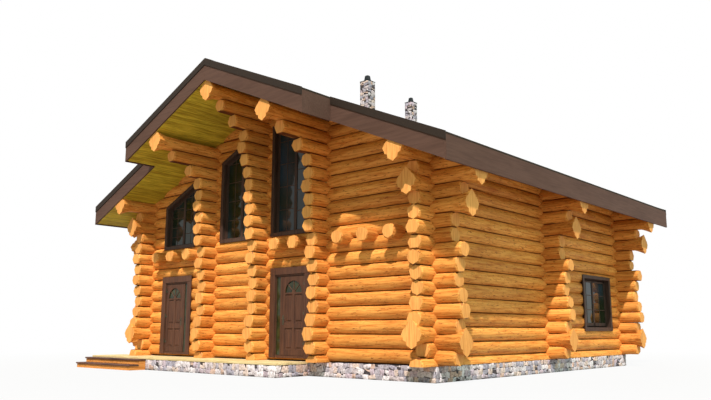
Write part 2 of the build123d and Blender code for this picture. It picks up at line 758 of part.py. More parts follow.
def roof_nodes():
    names = ("roof_boards", "roof_slopes", "roof_covers", "front_bargeboards",
             "back_bargeboards", "eave_fascias", "gable_trim", "chimney_stacks", "chimney_caps")
    nodes = {name: [] for name in names}
    nodes["ridge_cap"] = [ridge_cap()]
    slab_top = ROOF_BUILD - ROOF_COVER_T - 2
    for side in (-1, 1):
        nodes["roof_boards"].append(roof_layer(side, 0, ROOF_BOARDS_T, SLAB_EDGE))
        nodes["roof_slopes"].append(roof_layer(side, ROOF_BOARDS_T + 2, slab_top, SLAB_EDGE))
        nodes["roof_covers"].append(
            roof_layer(side, ROOF_BUILD - ROOF_COVER_T, ROOF_BUILD, TRIM_T + 1))
        nodes["front_bargeboards"] += front_bargeboards(side)
        nodes["back_bargeboards"].append(
            bargeboard(side, 1, EAVE_X - BOARD_T - 2, ROOF_BACK_Y, -1))
        nodes["eave_fascias"].append(eave_fascia(side))
        nodes["gable_trim"] += [
            gable_trim(side, 1, WING_X, CENTRE_FRONT_Y, 1),
            gable_trim(side, WING_X + 1, EAVE_X, WING_FRONT_Y, 1),
            gable_trim(side, 1, EAVE_X, ROOF_BACK_Y, -1)]
    for behind, side, top, cap_top in CHIMNEYS:
        nodes["chimney_stacks"].append(chimney_stack(behind, side, top))
        nodes["chimney_caps"].append(chimney_cap(behind, side, top, cap_top))
    return nodes


def base_nodes():
    return {
        "plinth": plinth(),
        "terrace_base": [terrace_base()],
        "terrace_boards": [terrace_boards()],
        "terrace_step_treads": step_treads(),
        "terrace_step_frame": step_frame(),
    }


def opening_nodes():
    nodes = {}
    for name, centre, hand in DOOR_SETS:
        nodes["door_frame_" + name] = [door_frame(centre, hand)]
        nodes["door_leaf_" + name] = [door_leaf(centre, hand)]
        nodes["door_handle_" + name] = [door_handle(centre, hand)]
    nodes["door_side_lights"] = [side_light(centre, hand) for name, centre, hand in DOOR_SETS]
    front = [pick(front_outlines, i) for i in range(3)]
    back = [pick(back_outlines, i) for i in range(2)] + [pick(tall_outlines, i) for i in range(2)]
    frames, panes = gable_windows(front, FRONT_Y, -1)
    nodes["front_window_frames"] = frames
    nodes["front_window_glass"] = panes
    frames, panes = gable_windows(back, BACK_Y, 1)
    nodes["back_window_frames"] = frames
    nodes["back_window_glass"] = panes
    sides = [side_window(-CORNER_X, -1), side_window(CORNER_X, 1)]
    nodes["side_window_frames"] = [frame for frame, pane in sides]
    nodes["side_window_glass"] = [pane for frame, pane in sides]
    return nodes


def write(nodes):
    os.makedirs("parts", exist_ok=True)
    for name, solids in nodes.items():
        loose = [s for shape in solids for s in shape.solids()]
        export_step(Compound(children=loose), f"parts/{name}.step")
        print(name, len(loose))


for group in (base_nodes, wall_nodes, cross_nodes, frame_nodes, floor_nodes, roof_nodes,
              opening_nodes):
    write(group())
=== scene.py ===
import random
from math import atan2, copysign, cos, pi, radians, sin

import bmesh
import bpy
from mathutils import Matrix, Vector


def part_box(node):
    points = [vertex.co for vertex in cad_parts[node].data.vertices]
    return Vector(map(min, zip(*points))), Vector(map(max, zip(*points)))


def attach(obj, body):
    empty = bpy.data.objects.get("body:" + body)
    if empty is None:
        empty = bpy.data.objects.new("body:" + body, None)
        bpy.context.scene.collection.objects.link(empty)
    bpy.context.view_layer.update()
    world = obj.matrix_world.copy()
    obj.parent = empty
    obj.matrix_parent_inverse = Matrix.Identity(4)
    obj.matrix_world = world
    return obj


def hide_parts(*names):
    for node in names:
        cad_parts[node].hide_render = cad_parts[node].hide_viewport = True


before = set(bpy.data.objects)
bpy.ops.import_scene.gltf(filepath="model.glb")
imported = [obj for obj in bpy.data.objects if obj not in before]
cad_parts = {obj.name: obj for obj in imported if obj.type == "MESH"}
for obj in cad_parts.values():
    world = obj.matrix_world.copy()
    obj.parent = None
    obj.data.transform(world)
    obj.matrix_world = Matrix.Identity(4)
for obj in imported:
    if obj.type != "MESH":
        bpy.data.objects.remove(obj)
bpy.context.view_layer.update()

random.seed(7)

# Standpoint, light and ground.
# The house is seen from some 17 m off its front right corner, at waist height. A high sun from
# the front right, a broad soft light from the right and an even sky light it on a pale floor.
STANDPOINT = (15.614, -18.736, 1.177)
LOOK_UP = 0.1802
LOOK_ROUND = 0.7233
LENS = 36.26
SUN_FROM = Vector((0.4, -0.66, 1.0))
SUN_POWER = 4.9
SUN_SPREAD = 1.2
SUN_COLOUR = (1.0, 0.94, 0.84)
SKY_POWER = 0.30
SKY_TINT = (0.95, 1.06, 0.64)
FILL_FROM = Vector((1.0, -0.35, 0.5))
FILL_POWER = 1.1
FILL_SPREAD = 80
FILL_COLOUR = (0.83, 1.3, 1.2)
FLOOR_SIZE = 240
FLOOR_NEAR = 9
FLOOR_FAR = 24
FLOOR_GLOW = 0.93


def paint(red, green, blue):
    """A colour as it shows on a screen, turned into the renderer's own numbers."""
    parts = [value / 255 for value in (red, green, blue)]
    parts = [p / 12.92 if p <= 0.04045 else ((p + 0.055) / 1.055) ** 2.4 for p in parts]
    return (*parts, 1)


def new_finish(name, roughness):
    """An empty finish: its nodes, its links and its shader."""
    finish = bpy.data.materials.new(name)
    finish.use_nodes = True
    shader = finish.node_tree.nodes["Principled BSDF"]
    shader.inputs["Roughness"].default_value = roughness
    return finish, finish.node_tree.nodes, finish.node_tree.links, shader


def worked_out(nodes, links, operation, first, second):
    """A value made from two others."""
    step = nodes.new("ShaderNodeMath")
    step.operation = operation
    links.new(first, step.inputs[0])
    links.new(second, step.inputs[1])
    return step.outputs[0]


def seen_directly(nodes, links):
    """A value that is 1 where the background is seen, straight on or in glass and metal."""
    path = nodes.new("ShaderNodeLightPath")
    total = path.outputs["Is Camera Ray"]
    for ray in ("Is Glossy Ray", "Is Transmission Ray"):
        total = worked_out(nodes, links, "MAXIMUM", total, path.outputs[ray])
    return total


def blend_shaders(nodes, links, share, first, second, output):
    """Two shaders mixed by a share and led to an output."""
    blend = nodes.new("ShaderNodeMixShader")
    links.new(share, blend.inputs["Fac"])
    links.new(first, blend.inputs[1])
    links.new(second, blend.inputs[2])
    links.new(blend.outputs["Shader"], output.inputs["Surface"])


def distant_light(comes_from, power, spread, colour):
    bpy.ops.object.light_add(type="SUN")
    lamp = bpy.context.object
    lamp.rotation_euler = comes_from.to_track_quat("Z", "Y").to_euler()
    lamp.data.energy = power
    lamp.data.angle = radians(spread)
    lamp.data.color = colour


scene = bpy.context.scene
scene.view_settings.view_transform = "Standard"
bpy.ops.object.camera_add(location=STANDPOINT, rotation=(pi / 2 + LOOK_UP, 0, LOOK_ROUND))
camera = bpy.context.object
camera.name = "camera"
camera.data.sensor_width = 36
camera.data.lens = LENS
camera.data.clip_end = 500
scene.camera = camera

distant_light(SUN_FROM, SUN_POWER, SUN_SPREAD, SUN_COLOUR)
distant_light(FILL_FROM, FILL_POWER, FILL_SPREAD, FILL_COLOUR)

sky = bpy.data.worlds.new("sky")
scene.world = sky
sky.use_nodes = True
sky_nodes = sky.node_tree.nodes
sky_links = sky.node_tree.links
daylight = sky_nodes["Background"]
daylight.inputs["Color"].default_value = (*SKY_TINT, 1)
daylight.inputs["Strength"].default_value = SKY_POWER
backdrop = sky_nodes.new("ShaderNodeBackground")
backdrop.inputs["Color"].default_value = (1, 1, 1, 1)
blend_shaders(sky_nodes, sky_links, seen_directly(sky_nodes, sky_links), daylight.outputs["Background"],
              backdrop.outputs["Background"], sky_nodes["World Output"])

bpy.ops.mesh.primitive_plane_add(size=FLOOR_SIZE)
ground = bpy.context.object
ground.name = "ground"
ground_finish, nodes, links, shader = new_finish("pale_ground", 0.9)
shader.inputs["Base Color"].default_value = paint(150, 146, 138)
glow = nodes.new("ShaderNodeEmission")
place = nodes.new("ShaderNodeTexCoord")
distance = nodes.new("ShaderNodeVectorMath")
distance.operation = "LENGTH"
links.new(place.outputs["Object"], distance.inputs[0])
far_off = nodes.new("ShaderNodeMapRange")
far_off.inputs["From Min"].default_value = FLOOR_NEAR
far_off.inputs["From Max"].default_value = FLOOR_FAR
far_off.inputs["To Min"].default_value = FLOOR_GLOW
far_off.inputs["To Max"].default_value = 1
links.new(distance.outputs["Value"], far_off.inputs["Value"])
share = worked_out(nodes, links, "MULTIPLY", seen_directly(nodes, links), far_off.outputs["Result"])
blend_shaders(nodes, links, share, shader.outputs["BSDF"], glow.outputs["Emission"],
              nodes["Material Output"])
ground.data.materials.append(ground_finish)

# Stone plinth.
# A footing of rubble stone in mortar carries the log walls. Its core is the mortar, and
# stones of many colours are set into its outer faces, about three to its height.
STONE_COLOURS = (paint(224, 214, 226), paint(204, 186, 204), paint(226, 204, 200),
                 paint(184, 176, 192), paint(240, 232, 244), paint(214, 182, 172),
                 paint(176, 170, 190), paint(212, 198, 208), paint(230, 220, 232))
STONE_PROUD = 0.02
STONE_DEEP = 0.11
STONE_JOINT = 0.014
STONE_LONG = 0.26
STONE_SWELL = 1.12


def noise(nodes, links, scale, detail=4, stretch=(1, 1, 1)):
    """Cloudy pattern on the piece's own coordinates."""
    place = nodes.new("ShaderNodeTexCoord")
    mapping = nodes.new("ShaderNodeMapping")
    mapping.inputs["Scale"].default_value = stretch
    cloud = nodes.new("ShaderNodeTexNoise")
    cloud.inputs["Scale"].default_value = scale
    cloud.inputs["Detail"].default_value = detail
    cloud.inputs["Roughness"].default_value = 0.6
    links.new(place.outputs["Object"], mapping.inputs["Vector"])
    links.new(mapping.outputs["Vector"], cloud.inputs["Vector"])
    return cloud.outputs["Fac"]


def ramp(nodes, links, value, stops, sharp=False):
    """Colours along a value; stops are pairs of place and colour."""
    band = nodes.new("ShaderNodeValToRGB")
    band.color_ramp.interpolation = "CONSTANT" if sharp else "LINEAR"
    steps = band.color_ramp.elements
    while len(steps) < len(stops):
        steps.new(0.5)
    for step, (place, colour) in zip(steps, stops):
        step.position = place
        step.color = colour
    links.new(value, band.inputs["Fac"])
    return band.outputs["Color"]


def mixed(nodes, links, kind, amount, first, second):
    """Two colours blended; amount is a number or a value from another node."""
    mixer = nodes.new("ShaderNodeMix")
    mixer.data_type = "RGBA"
    mixer.blend_type = kind
    if isinstance(amount, float):
        mixer.inputs["Factor"].default_value = amount
    else:
        links.new(amount, mixer.inputs["Factor"])
    links.new(first, mixer.inputs["A"])
    links.new(second, mixer.inputs["B"])
    return mixer.outputs["Result"]


def tone(nodes):
    """The value from 0 to 1 that each stone, log or board was given."""
    attribute = nodes.new("ShaderNodeAttribute")
    attribute.attribute_name = "tone"
    return attribute.outputs["Fac"]


def relief(nodes, links, shader, height, strength, depth):
    bump = nodes.new("ShaderNodeBump")
    bump.inputs["Strength"].default_value = strength
    bump.inputs["Distance"].default_value = depth
    links.new(height, bump.inputs["Height"])
    links.new(bump.outputs["Normal"], shader.inputs["Normal"])


def stone_finish():
    finish, nodes, links, shader = new_finish("rubble_stone", 0.85)
    stops = [(i / len(STONE_COLOURS), colour) for i, colour in enumerate(STONE_COLOURS)]
    own = ramp(nodes, links, tone(nodes), stops, sharp=True)
    grit = noise(nodes, links, 16, 8)
    veins = ramp(nodes, links, grit, [(0.34, paint(128, 114, 112)), (0.56, paint(255, 253, 252))])
    links.new(mixed(nodes, links, "MULTIPLY", 0.75, own, veins), shader.inputs["Base Color"])
    relief(nodes, links, shader, grit, 0.5, 0.02)
    return finish


def mortar_finish():
    finish, nodes, links, shader = new_finish("dark_mortar", 0.95)
    grit = noise(nodes, links, 22, 6)
    links.new(ramp(nodes, links, grit, [(0.3, paint(44, 38, 42)), (0.75, paint(84, 74, 78))]),
              shader.inputs["Base Color"])
    relief(nodes, links, shader, grit, 0.6, 0.015)
    return finish


def dress(node, finish):
    """A new finish on a CAD node that keeps its shape."""
    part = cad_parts[node]
    part.data.materials.clear()
    part.data.materials.append(finish)


def pick(piece, kind, test):
    """Leaves the piece in edit mode with only the faces or edges that pass the test selected."""
    bpy.context.view_layer.objects.active = piece
    bpy.ops.object.mode_set(mode="EDIT")
    bpy.ops.mesh.select_mode(type=kind)
    bpy.ops.mesh.select_all(action="DESELECT")
    bpy.ops.object.mode_set(mode="OBJECT")
    for part in piece.data.edges if kind == "EDGE" else piece.data.polygons:
        part.select = test(part)
    bpy.ops.object.mode_set(mode="EDIT")


def rough_stone(seed):
    """A stone of unit size with broken corners."""
    bpy.ops.object.select_all(action="DESELECT")
    bpy.ops.mesh.primitive_cube_add(size=1)
    stone = bpy.context.object
    bpy.ops.object.mode_set(mode="EDIT")
    bpy.ops.transform.vertex_random(offset=0.15, seed=seed)
    bpy.ops.mesh.bevel(offset=0.09, segments=2, affect="EDGES")
    bpy.ops.object.mode_set(mode="OBJECT")
    bpy.ops.object.shade_smooth_by_angle(angle=radians(38))
    return stone


def give_tone(mesh):
    """One random value for a whole piece, which its finish reads."""
    own = mesh.attributes.new("tone", "FLOAT", "POINT")
    own.data.foreach_set("value", [random.random()] * len(mesh.vertices))


def placed(name, mesh):
    piece = bpy.data.objects.new(name, mesh)
    bpy.context.collection.objects.link(piece)
    return piece


def copy_of(pattern, place):
    """A copy with its own mesh, moved by a matrix, with a tone of its own."""
    mesh = pattern.data.copy()
    mesh.transform(place)
    give_tone(mesh)
    return placed(pattern.name, mesh)


def joined(name, pieces, body="house"):
    """Loose pieces made one, named, and riding on a body."""
    bpy.ops.object.select_all(action="DESELECT")
    for piece in pieces:
        piece.select_set(True)
    bpy.context.view_layer.objects.active = pieces[0]
    if len(pieces) > 1:
        bpy.ops.object.join()
    whole = bpy.context.view_layer.objects.active
    whole.name = name
    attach(whole, body)
    return whole


def clear_away(*patterns):
    for pattern in patterns:
        bpy.data.objects.remove(pattern)


rubble = [rough_stone(seed) for seed in range(5)]
stone = stone_finish()
mortar = mortar_finish()
for pattern in rubble:
    pattern.data.materials.append(stone)


def stone_face(corner, along, length, height, largest, stands):
    """Stones set into an upright face; its outside is to the right of the way along."""
    along = Vector(along)
    outward = along.cross(Vector((0, 0, 1)))
    stones = []
    low = 0.0
    while low < height - 0.03:
        rise = min(random.uniform(0.09, 0.5 * largest + 0.03), height - low)
        if height - low - rise < 0.07:
            rise = height - low
        left = 0.0
        while left < length - 0.02:
            wide = min(random.uniform(0.4, 1) * largest, length - left)
            if length - left - wide < 0.08:
                wide = length - left
            proud = random.uniform(0.1, 1) * stands
            size = Matrix.Diagonal((wide * STONE_SWELL - STONE_JOINT, STONE_DEEP,
                                    rise * STONE_SWELL - STONE_JOINT, 1))
            tilt = Matrix.Rotation(random.uniform(-0.3, 0.3), 4, "Y")
            bed = Matrix.Translation((left + wide / 2, STONE_DEEP / 2 - proud, low + rise / 2))
            one = copy_of(random.choice(rubble), bed @ tilt @ size)
            for vert in one.data.vertices:
                x, y, z = vert.co
                x = min(length, max(0, x))
                z = min(height, max(0, z))
                vert.co = Vector(corner) + along * x - outward * max(y, -stands) + Vector((0, 0, z))
            stones.append(one)
            left += wide
        low += rise
    return stones


def stone_box(low, high, faces, largest=STONE_LONG, stands=STONE_PROUD):
    """Stones on some of the faces of a box; faces are letters for front, right, back and left."""
    x0, y0, z0 = low
    x1, y1, z1 = high
    sides = {"f": ((x0, y0, z0), (1, 0, 0), x1 - x0), "r": ((x1, y0, z0), (0, 1, 0), y1 - y0),
             "b": ((x1, y1, z0), (-1, 0, 0), x1 - x0), "l": ((x0, y1, z0), (0, -1, 0), y1 - y0)}
    stones = []
    for letter in faces:
        corner, along, length = sides[letter]
        stones += stone_face(corner, along, length, z1 - z0, largest, stands)
    return stones


plinth_low, plinth_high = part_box("plinth")
dress("plinth", mortar)
footing = joined("plinth_stones", stone_box(plinth_low, plinth_high, "frbl"))

# Terrace.
# A low stone base in front of the house carries pale boards laid side by side along the front,
# with narrow gaps. Two broad steps of dark treads on orange stringers lead up on its left.
TERRACE_PALE = paint(236, 214, 168)
TERRACE_DEEP = paint(206, 178, 128)
DECK_BOARD = 0.13
DECK_GAP = 0.005
TREAD_PALE = paint(108, 74, 62)
TREAD_DEEP = paint(70, 46, 40)
STRINGER_PALE = paint(244, 168, 92)
STRINGER_DEEP = paint(206, 118, 52)
WHITE = paint(255, 255, 255)


def timber(name, pale, deep, along, roughness=0.6, grain=1.0, raised=0.25, spread=0.35, flecks_and_seam_shade=None):
    """Wood finish with its grain along an axis, and with flecks and painted shade along the log seams
    where those colours are given.
    """
    finish, nodes, links, shader = new_finish(name, roughness)
    shader.inputs["Specular IOR Level"].default_value = 0.2
    stretch = [26 * grain] * 3
    stretch[along] = 1.6 * grain
    fibre = noise(nodes, links, 1, 6, stretch)
    wood = ramp(nodes, links, fibre, [(0.32, deep), (0.58, pale)])
    blotch = noise(nodes, links, 1.7, 3, [1 if axis != along else 0.35 for axis in range(3)])
    cast = ramp(nodes, links, blotch, [(0.3, paint(214, 206, 198)), (0.65, WHITE)])
    wood = mixed(nodes, links, "MULTIPLY", 0.6, wood, cast)
    if flecks_and_seam_shade:
        fleck, painted_seam_shade = flecks_and_seam_shade
        dashes = noise(nodes, links, 1, 5, [6 if axis == along else 38 for axis in range(3)])
        knots = ramp(nodes, links, dashes, [(0.57, WHITE), (0.68, fleck)])
        wood = mixed(nodes, links, "MULTIPLY", 0.9, wood, knots)
        # Painted shade: the wood is darkened along the seams between courses, where shade falls.
        seam_shade = nodes.new("ShaderNodeAttribute")
        seam_shade.attribute_name = "seam_shade"
        line = ramp(nodes, links, seam_shade.outputs["Fac"], [(0.35, WHITE), (0.9, painted_seam_shade)])
        wood = mixed(nodes, links, "MULTIPLY", 0.95, wood, line)
    own = ramp(nodes, links, tone(nodes), [(0, paint(222, 214, 204)), (1, WHITE)])
    links.new(mixed(nodes, links, "MULTIPLY", spread, wood, own), shader.inputs["Base Color"])
    relief(nodes, links, shader, fibre, raised, 0.01)
    return finish


def board(low, high, finish, edge=0.004):
    """A sawn board between two corners, with its edges eased."""
    bpy.ops.object.select_all(action="DESELECT")
    middle = [(a + b) / 2 for a, b in zip(low, high)]
    bpy.ops.mesh.primitive_cube_add(size=1, location=middle)
    plank = bpy.context.object
    plank.scale = [abs(b - a) for a, b in zip(low, high)]
    bpy.ops.object.transform_apply(location=True, rotation=True, scale=True)
    bpy.ops.object.mode_set(mode="EDIT")
    bpy.ops.mesh.bevel(offset=edge, segments=1, affect="EDGES")
    bpy.ops.object.mode_set(mode="OBJECT")
    plank.data.materials.append(finish)
    give_tone(plank.data)
    return plank


base_low, base_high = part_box("terrace_base")
dress("terrace_base", mortar)
base_stones = joined("terrace_stones", stone_box(base_low, base_high, "frl"))

deck_wood = timber("terrace_wood", TERRACE_PALE, TERRACE_DEEP, 0, 0.7, 1.2)
deck_low, deck_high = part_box("terrace_boards")
planks = []
row = deck_low[1]
while row < deck_high[1] - 0.02:
    end = min(row + DECK_BOARD - DECK_GAP, deck_high[1])
    planks.append(board((deck_low[0], row, deck_low[2]), (deck_high[0], end, deck_high[2]), deck_wood))
    row += DECK_BOARD
deck = joined("terrace_planks", planks)
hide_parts("terrace_boards")

tread_wood = timber("step_wood", TREAD_PALE, TREAD_DEEP, 0, 0.6)
stringer_wood = timber("stringer_wood", STRINGER_PALE, STRINGER_DEEP, 1, 0.6)


def loose_solids(node):
    """The separate solids of a CAD node, each as a list of its corners, in the order of their places."""
    work = bmesh.new()
    work.from_mesh(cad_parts[node].data)
    bmesh.ops.remove_doubles(work, verts=work.verts, dist=1e-5)
    waiting = set(work.verts)
    solids = []
    while waiting:
        reached = [waiting.pop()]
        corners = []
        while reached:
            vert = reached.pop()
            corners.append(vert.co.copy())
            for link in vert.link_edges:
                other = link.other_vert(vert)
                if other in waiting:
                    waiting.remove(other)
                    reached.append(other)
        solids.append(corners)
    work.free()
    return sorted(solids, key=lambda corners: [round(value, 3) for value in sum(box_of(corners), [])])


def box_of(corners):
    return ([min(c[i] for c in corners) for i in range(3)],
            [max(c[i] for c in corners) for i in range(3)])


treads = [board(*box_of(corners), tread_wood, 0.008) for corners in loose_solids("terrace_step_treads")]
steps = joined("step_treads", treads)
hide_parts("terrace_step_treads")
dress("terrace_step_frame", stringer_wood)

# Log walls.
# Round logs of about 0.4 m lie in courses of 0.35 m, scribed flat where they meet. Their ends
# are hewn in six to eight facets, and some butts flare into four blunt points.
LOG_R = 0.2
COURSE = 0.35
FLAT = COURSE / 2 - 0.0015
LOG_SIDES = 24
PLINTH_TOP = 0.37
FIRST_Y_LOG = PLINTH_TOP + 0.018
HEWN = 0.145
HEWN_SLOPE = 0.75
FLARE_HEWN = 0.235
END_KEPT = 0.14
FLARE_KEPT = 0.42
FLARE_HALF = 0.33
FLARE_WIDE = 0.29
HOLLOW_R = 0.245
FLARE_LENGTH = 0.40
SLOPE = 0.4444
SOFFIT_PEAK = PLINTH_TOP + 7.62
WALL_X = 5.78
EAVE_TOP_Z = FIRST_Y_LOG + 14 * COURSE
LET_IN = 0.16
TO_ROOF = 0.3
LOG_PALE = paint(252, 176, 92)
LOG_DEEP = paint(208, 118, 44)
LOG_FLECK = paint(136, 78, 40)
# Colour of the painted shade along the seams between courses.
PAINTED_SEAM_SHADE = paint(92, 56, 32)
END_PALE = paint(250, 178, 102)
END_DEEP = paint(224, 144, 78)


def flare_radius(angle):
    """Outline of a flared butt: four blunt points, hollow between them."""
    point = FLARE_HALF if abs(sin(angle)) > 0.7 else FLARE_WIDE
    return HOLLOW_R + (point - HOLLOW_R) * abs(cos(2 * angle)) ** 1.2


def swell(log, flared):
    """Widens the flared ends of a pattern log and flattens it above and below."""
    for vert in log.data.vertices:
        x, y, z = vert.co
        part = 0
        if (1 if x > 0 else -1) in flared:
            part = min(1, max(0, (abs(x) - 1 + FLARE_LENGTH) / FLARE_LENGTH)) ** 1.3
        angle = atan2(z, y)
        ratio = 1 + part * (flare_radius(angle) / LOG_R - 1)
        if round(angle / (2 * pi / LOG_SIDES)) % 2:
            ratio *= 1 - 0.09 * part
        limit = FLAT + part * (FLARE_HALF - FLAT)
        vert.co = (x, y * ratio, max(-limit, min(limit, z * ratio)))


def open_whole():
    """Opens the active piece for editing, with all of it selected."""
    bpy.ops.object.mode_set(mode="EDIT")
    bpy.ops.mesh.select_all(action="SELECT")


def close_outwards():
    """Turns all faces of the open piece outwards and closes it."""
    bpy.ops.mesh.select_all(action="SELECT")
    bpy.ops.mesh.normals_make_consistent(inside=False)
    bpy.ops.object.mode_set(mode="OBJECT")


def hew(side, flared):
    """Cuts facets round one end; a flared end has two, on its upper corners."""
    facets = 8 if side in flared else random.choice((6, 7, 8))
    for facet in range(facets):
        angle = (facet + random.uniform(0.35, 0.65)) * 2 * pi / facets
        reach = HEWN + 0.03 * abs(cos(angle)) + random.uniform(-0.014, 0.012)
        if side in flared:
            if facet not in (0, 2):
                continue
            angle = (facet + 1) * pi / 4
            reach = FLARE_HEWN
        open_whole()
        bpy.ops.mesh.bisect(plane_co=(side, reach * cos(angle), reach * sin(angle)), use_fill=True,
                            plane_no=(side * HEWN_SLOPE, cos(angle), sin(angle)), clear_outer=True)
        bpy.ops.object.mode_set(mode="OBJECT")


def gets_seam_shade(corner, flared):
    """Whether a corner lies in the flat between two courses, away from a flared end, where shade is
    painted along the seam.
    """
    in_flat = abs(corner.z) > FLAT - 0.002 and abs(corner.y) < 0.12
    return in_flat and not any(corner.x * side > 0 and abs(corner.x) > 1 - FLARE_LENGTH - 0.05
                               for side in flared)


def pattern_log(seed, flared):
    """A log two metres long on the X axis, with hewn ends; flared lists the ends that flare."""
    bpy.ops.object.select_all(action="DESELECT")
    bpy.ops.mesh.primitive_cylinder_add(vertices=LOG_SIDES, radius=LOG_R, depth=1.1,
                                        end_fill_type="NGON", rotation=(0, pi / 2, 0))
    log = bpy.context.object
    log.name = "log"
    bpy.ops.object.transform_apply(location=False, rotation=True, scale=False)
    corners = log.data.vertices
    pick(log, "EDGE", lambda edge: abs(corners[edge.vertices[0]].co.x
                                       - corners[edge.vertices[1]].co.x) > 1)
    bpy.ops.mesh.subdivide(number_cuts=4)
    steps = 4 if flared else 1
    for side in (-1, 1):
        pick(log, "FACE", lambda face: face.normal.x * side > 0.9)
        for step in range(steps):
            bpy.ops.mesh.extrude_region_move(
                TRANSFORM_OT_translate={"value": (side * 0.45 / steps, 0, 0)})
    bpy.ops.mesh.select_all(action="SELECT")
    bpy.ops.transform.vertex_random(offset=0.005, seed=seed)
    bpy.ops.object.mode_set(mode="OBJECT")
    swell(log, flared)
    random.seed(seed)
    for side in (-1, 1):
        hew(side, flared)
    open_whole()
    close_outwards()
    bpy.ops.object.shade_smooth_by_angle(angle=radians(22))
    for face in log.data.polygons:
        face.material_index = 1 if abs(face.normal.x) > 0.9 else 0
    # Painted shade mask: 1 on corners in the flats between courses, away from flared ends.
    seam_shade_values = log.data.attributes.new("seam_shade", "FLOAT", "POINT")
    seam_shade_values.data.foreach_set("value", [float(gets_seam_shade(vert.co, flared)) for vert in log.data.vertices])
    return log


FLARES = {(): (1, 2, 3, 4, 5, 6), (-1, 1): (7, 8), (-1,): (9, 10), (1,): (11, 12)}
log_kinds = {ends: [pattern_log(seed, ends) for seed in seeds] for ends, seeds in FLARES.items()}
log_finishes = {axis: timber("log_wood_" + axis, LOG_PALE, LOG_DEEP, along, 0.55, 0.9, 0.5, 0.9,
                             (LOG_FLECK, PAINTED_SEAM_SHADE)) for along, axis in enumerate("xy")}
end_finish = timber("log_end", END_PALE, END_DEEP, 2, 0.65, 1.3, 0.6, 0.3)


def read_log(corners, axis):
    """Line, height, start, end and flared ends of a log, from its CAD solid."""
    a, b = (0, 1) if axis == "x" else (1, 0)
    low, high = box_of(corners)
    start, end = low[a], high[a]
    flared = []
    for side, tip in ((-1, start), (1, end)):
        near = [c.z for c in corners if abs(c[a] - tip) < 0.03]
        if min(near) < low[2] + 0.01 and high[2] - low[2] > 0.4:
            flared.append(side)
    half = FLARE_HALF if flared else FLAT
    height = low[2] + half
    if low[2] < PLINTH_TOP + 0.01:
        height = high[2] - half
    base = FIRST_Y_LOG + (COURSE / 2 if axis == "x" else 0)
    course = round((height - base) / COURSE)
    return (low[b] + high[b]) / 2, base + course * COURSE, start, end, tuple(flared)


def laid_log(axis, line, height, start, end, flared):
    """A copy of a pattern log, its middle stretched so that its ends keep their shape."""
    pattern = random.choice(log_kinds[flared])
    mesh = pattern.data.copy()
    half = (end - start) / 2
    keep = min(FLARE_KEPT if flared else END_KEPT, 0.8 * half)
    mirror = random.choice((-1, 1))
    for vert in mesh.vertices:
        x, y, z = vert.co
        middle = x * (half - keep) / (1 - keep)
        along = middle if abs(x) < 1 - keep else copysign(half - 1 + abs(x), x)
        along += (start + end) / 2
        y *= mirror
        vert.co = (along, line + y, height + z) if axis == "x" else (line - y, along, height + z)
    if mirror < 0:
        mesh.flip_normals()
    for finish in (log_finishes[axis], end_finish):
        mesh.materials.append(finish)
    give_tone(mesh)
    return placed("log", mesh)


def saw(piece, point, normal):
    """Cuts off what lies beyond a plane and closes the cut."""
    bpy.ops.object.select_all(action="DESELECT")
    piece.select_set(True)
    bpy.context.view_layer.objects.active = piece
    open_whole()
    bpy.ops.mesh.bisect(plane_co=point, plane_no=normal, use_fill=True, clear_outer=True)
    close_outwards()


def under_roof(piece):
    """Trims a piece to the underside of the roof boards."""
    for side in (-1, 1):
        if any(v.co.z + SLOPE * side * v.co.x > SOFFIT_PEAK - 0.002 for v in piece.data.vertices):
            saw(piece, (0, 0, SOFFIT_PEAK - 0.002), (SLOPE * side, 0, 1))


def cut_out(piece, cutter):
    """Cuts a piece round an opening, where the two meet."""
    low, high = box_of([v.co for v in piece.data.vertices])
    other_low, other_high = box_of([v.co for v in cutter.data.vertices])
    if any(high[i] < other_low[i] or other_high[i] < low[i] for i in range(3)):
        return
    bpy.context.view_layer.objects.active = piece
    hole = piece.modifiers.new("opening", "BOOLEAN")
    hole.operation = "DIFFERENCE"
    hole.solver = "MANIFOLD"
    hole.object = cutter
    bpy.ops.object.modifier_apply(modifier="opening")


def sheet(points, y):
    """A four-cornered face with an outline of x and z, upright at y."""
    bpy.ops.object.select_all(action="DESELECT")
    bpy.ops.mesh.primitive_plane_add(size=2)
    face = bpy.context.object
    for vert, corner in zip((0, 1, 3, 2), points):
        face.data.vertices[vert].co = (corner[0], y, corner[1])
    return face


def thicken(way):
    """Draws the open face out along Y and closes it."""
    bpy.ops.mesh.select_all(action="SELECT")
    bpy.ops.mesh.extrude_region_move(TRANSFORM_OT_translate={"value": (0, way, 0)})
    close_outwards()


def block(points, y0, y1):
    """A four-cornered outline of x and z, drawn out along Y."""
    solid = sheet(points, y0)
    open_whole()
    thicken(y1 - y0)
    return solid


def window_places(node, across):
    """Outer corners of each window of a CAD node: near, far, sill, head and whether it slopes."""
    places = []
    for corners in loose_solids(node):
        low, high = box_of(corners)
        a, b = low[across], high[across]
        left = max(c.z for c in corners if abs(c[across] - a) < 0.01)
        right = max(c.z for c in corners if abs(c[across] - b) < 0.01)
        places.append((a, b, low[2], left, right))
    return places


def set_in(place, inset):
    """Corners of a window's outline, moved in from its outer edge by the same width all round."""
    a, b, sill, left, right = place
    fall = (right - left) / (b - a)
    drop = inset * (1 + fall * fall) ** 0.5
    return [(a + inset, sill + inset), (b - inset, sill + inset),
            (b - inset, right - fall * inset - drop), (a + inset, left + fall * inset - drop)]


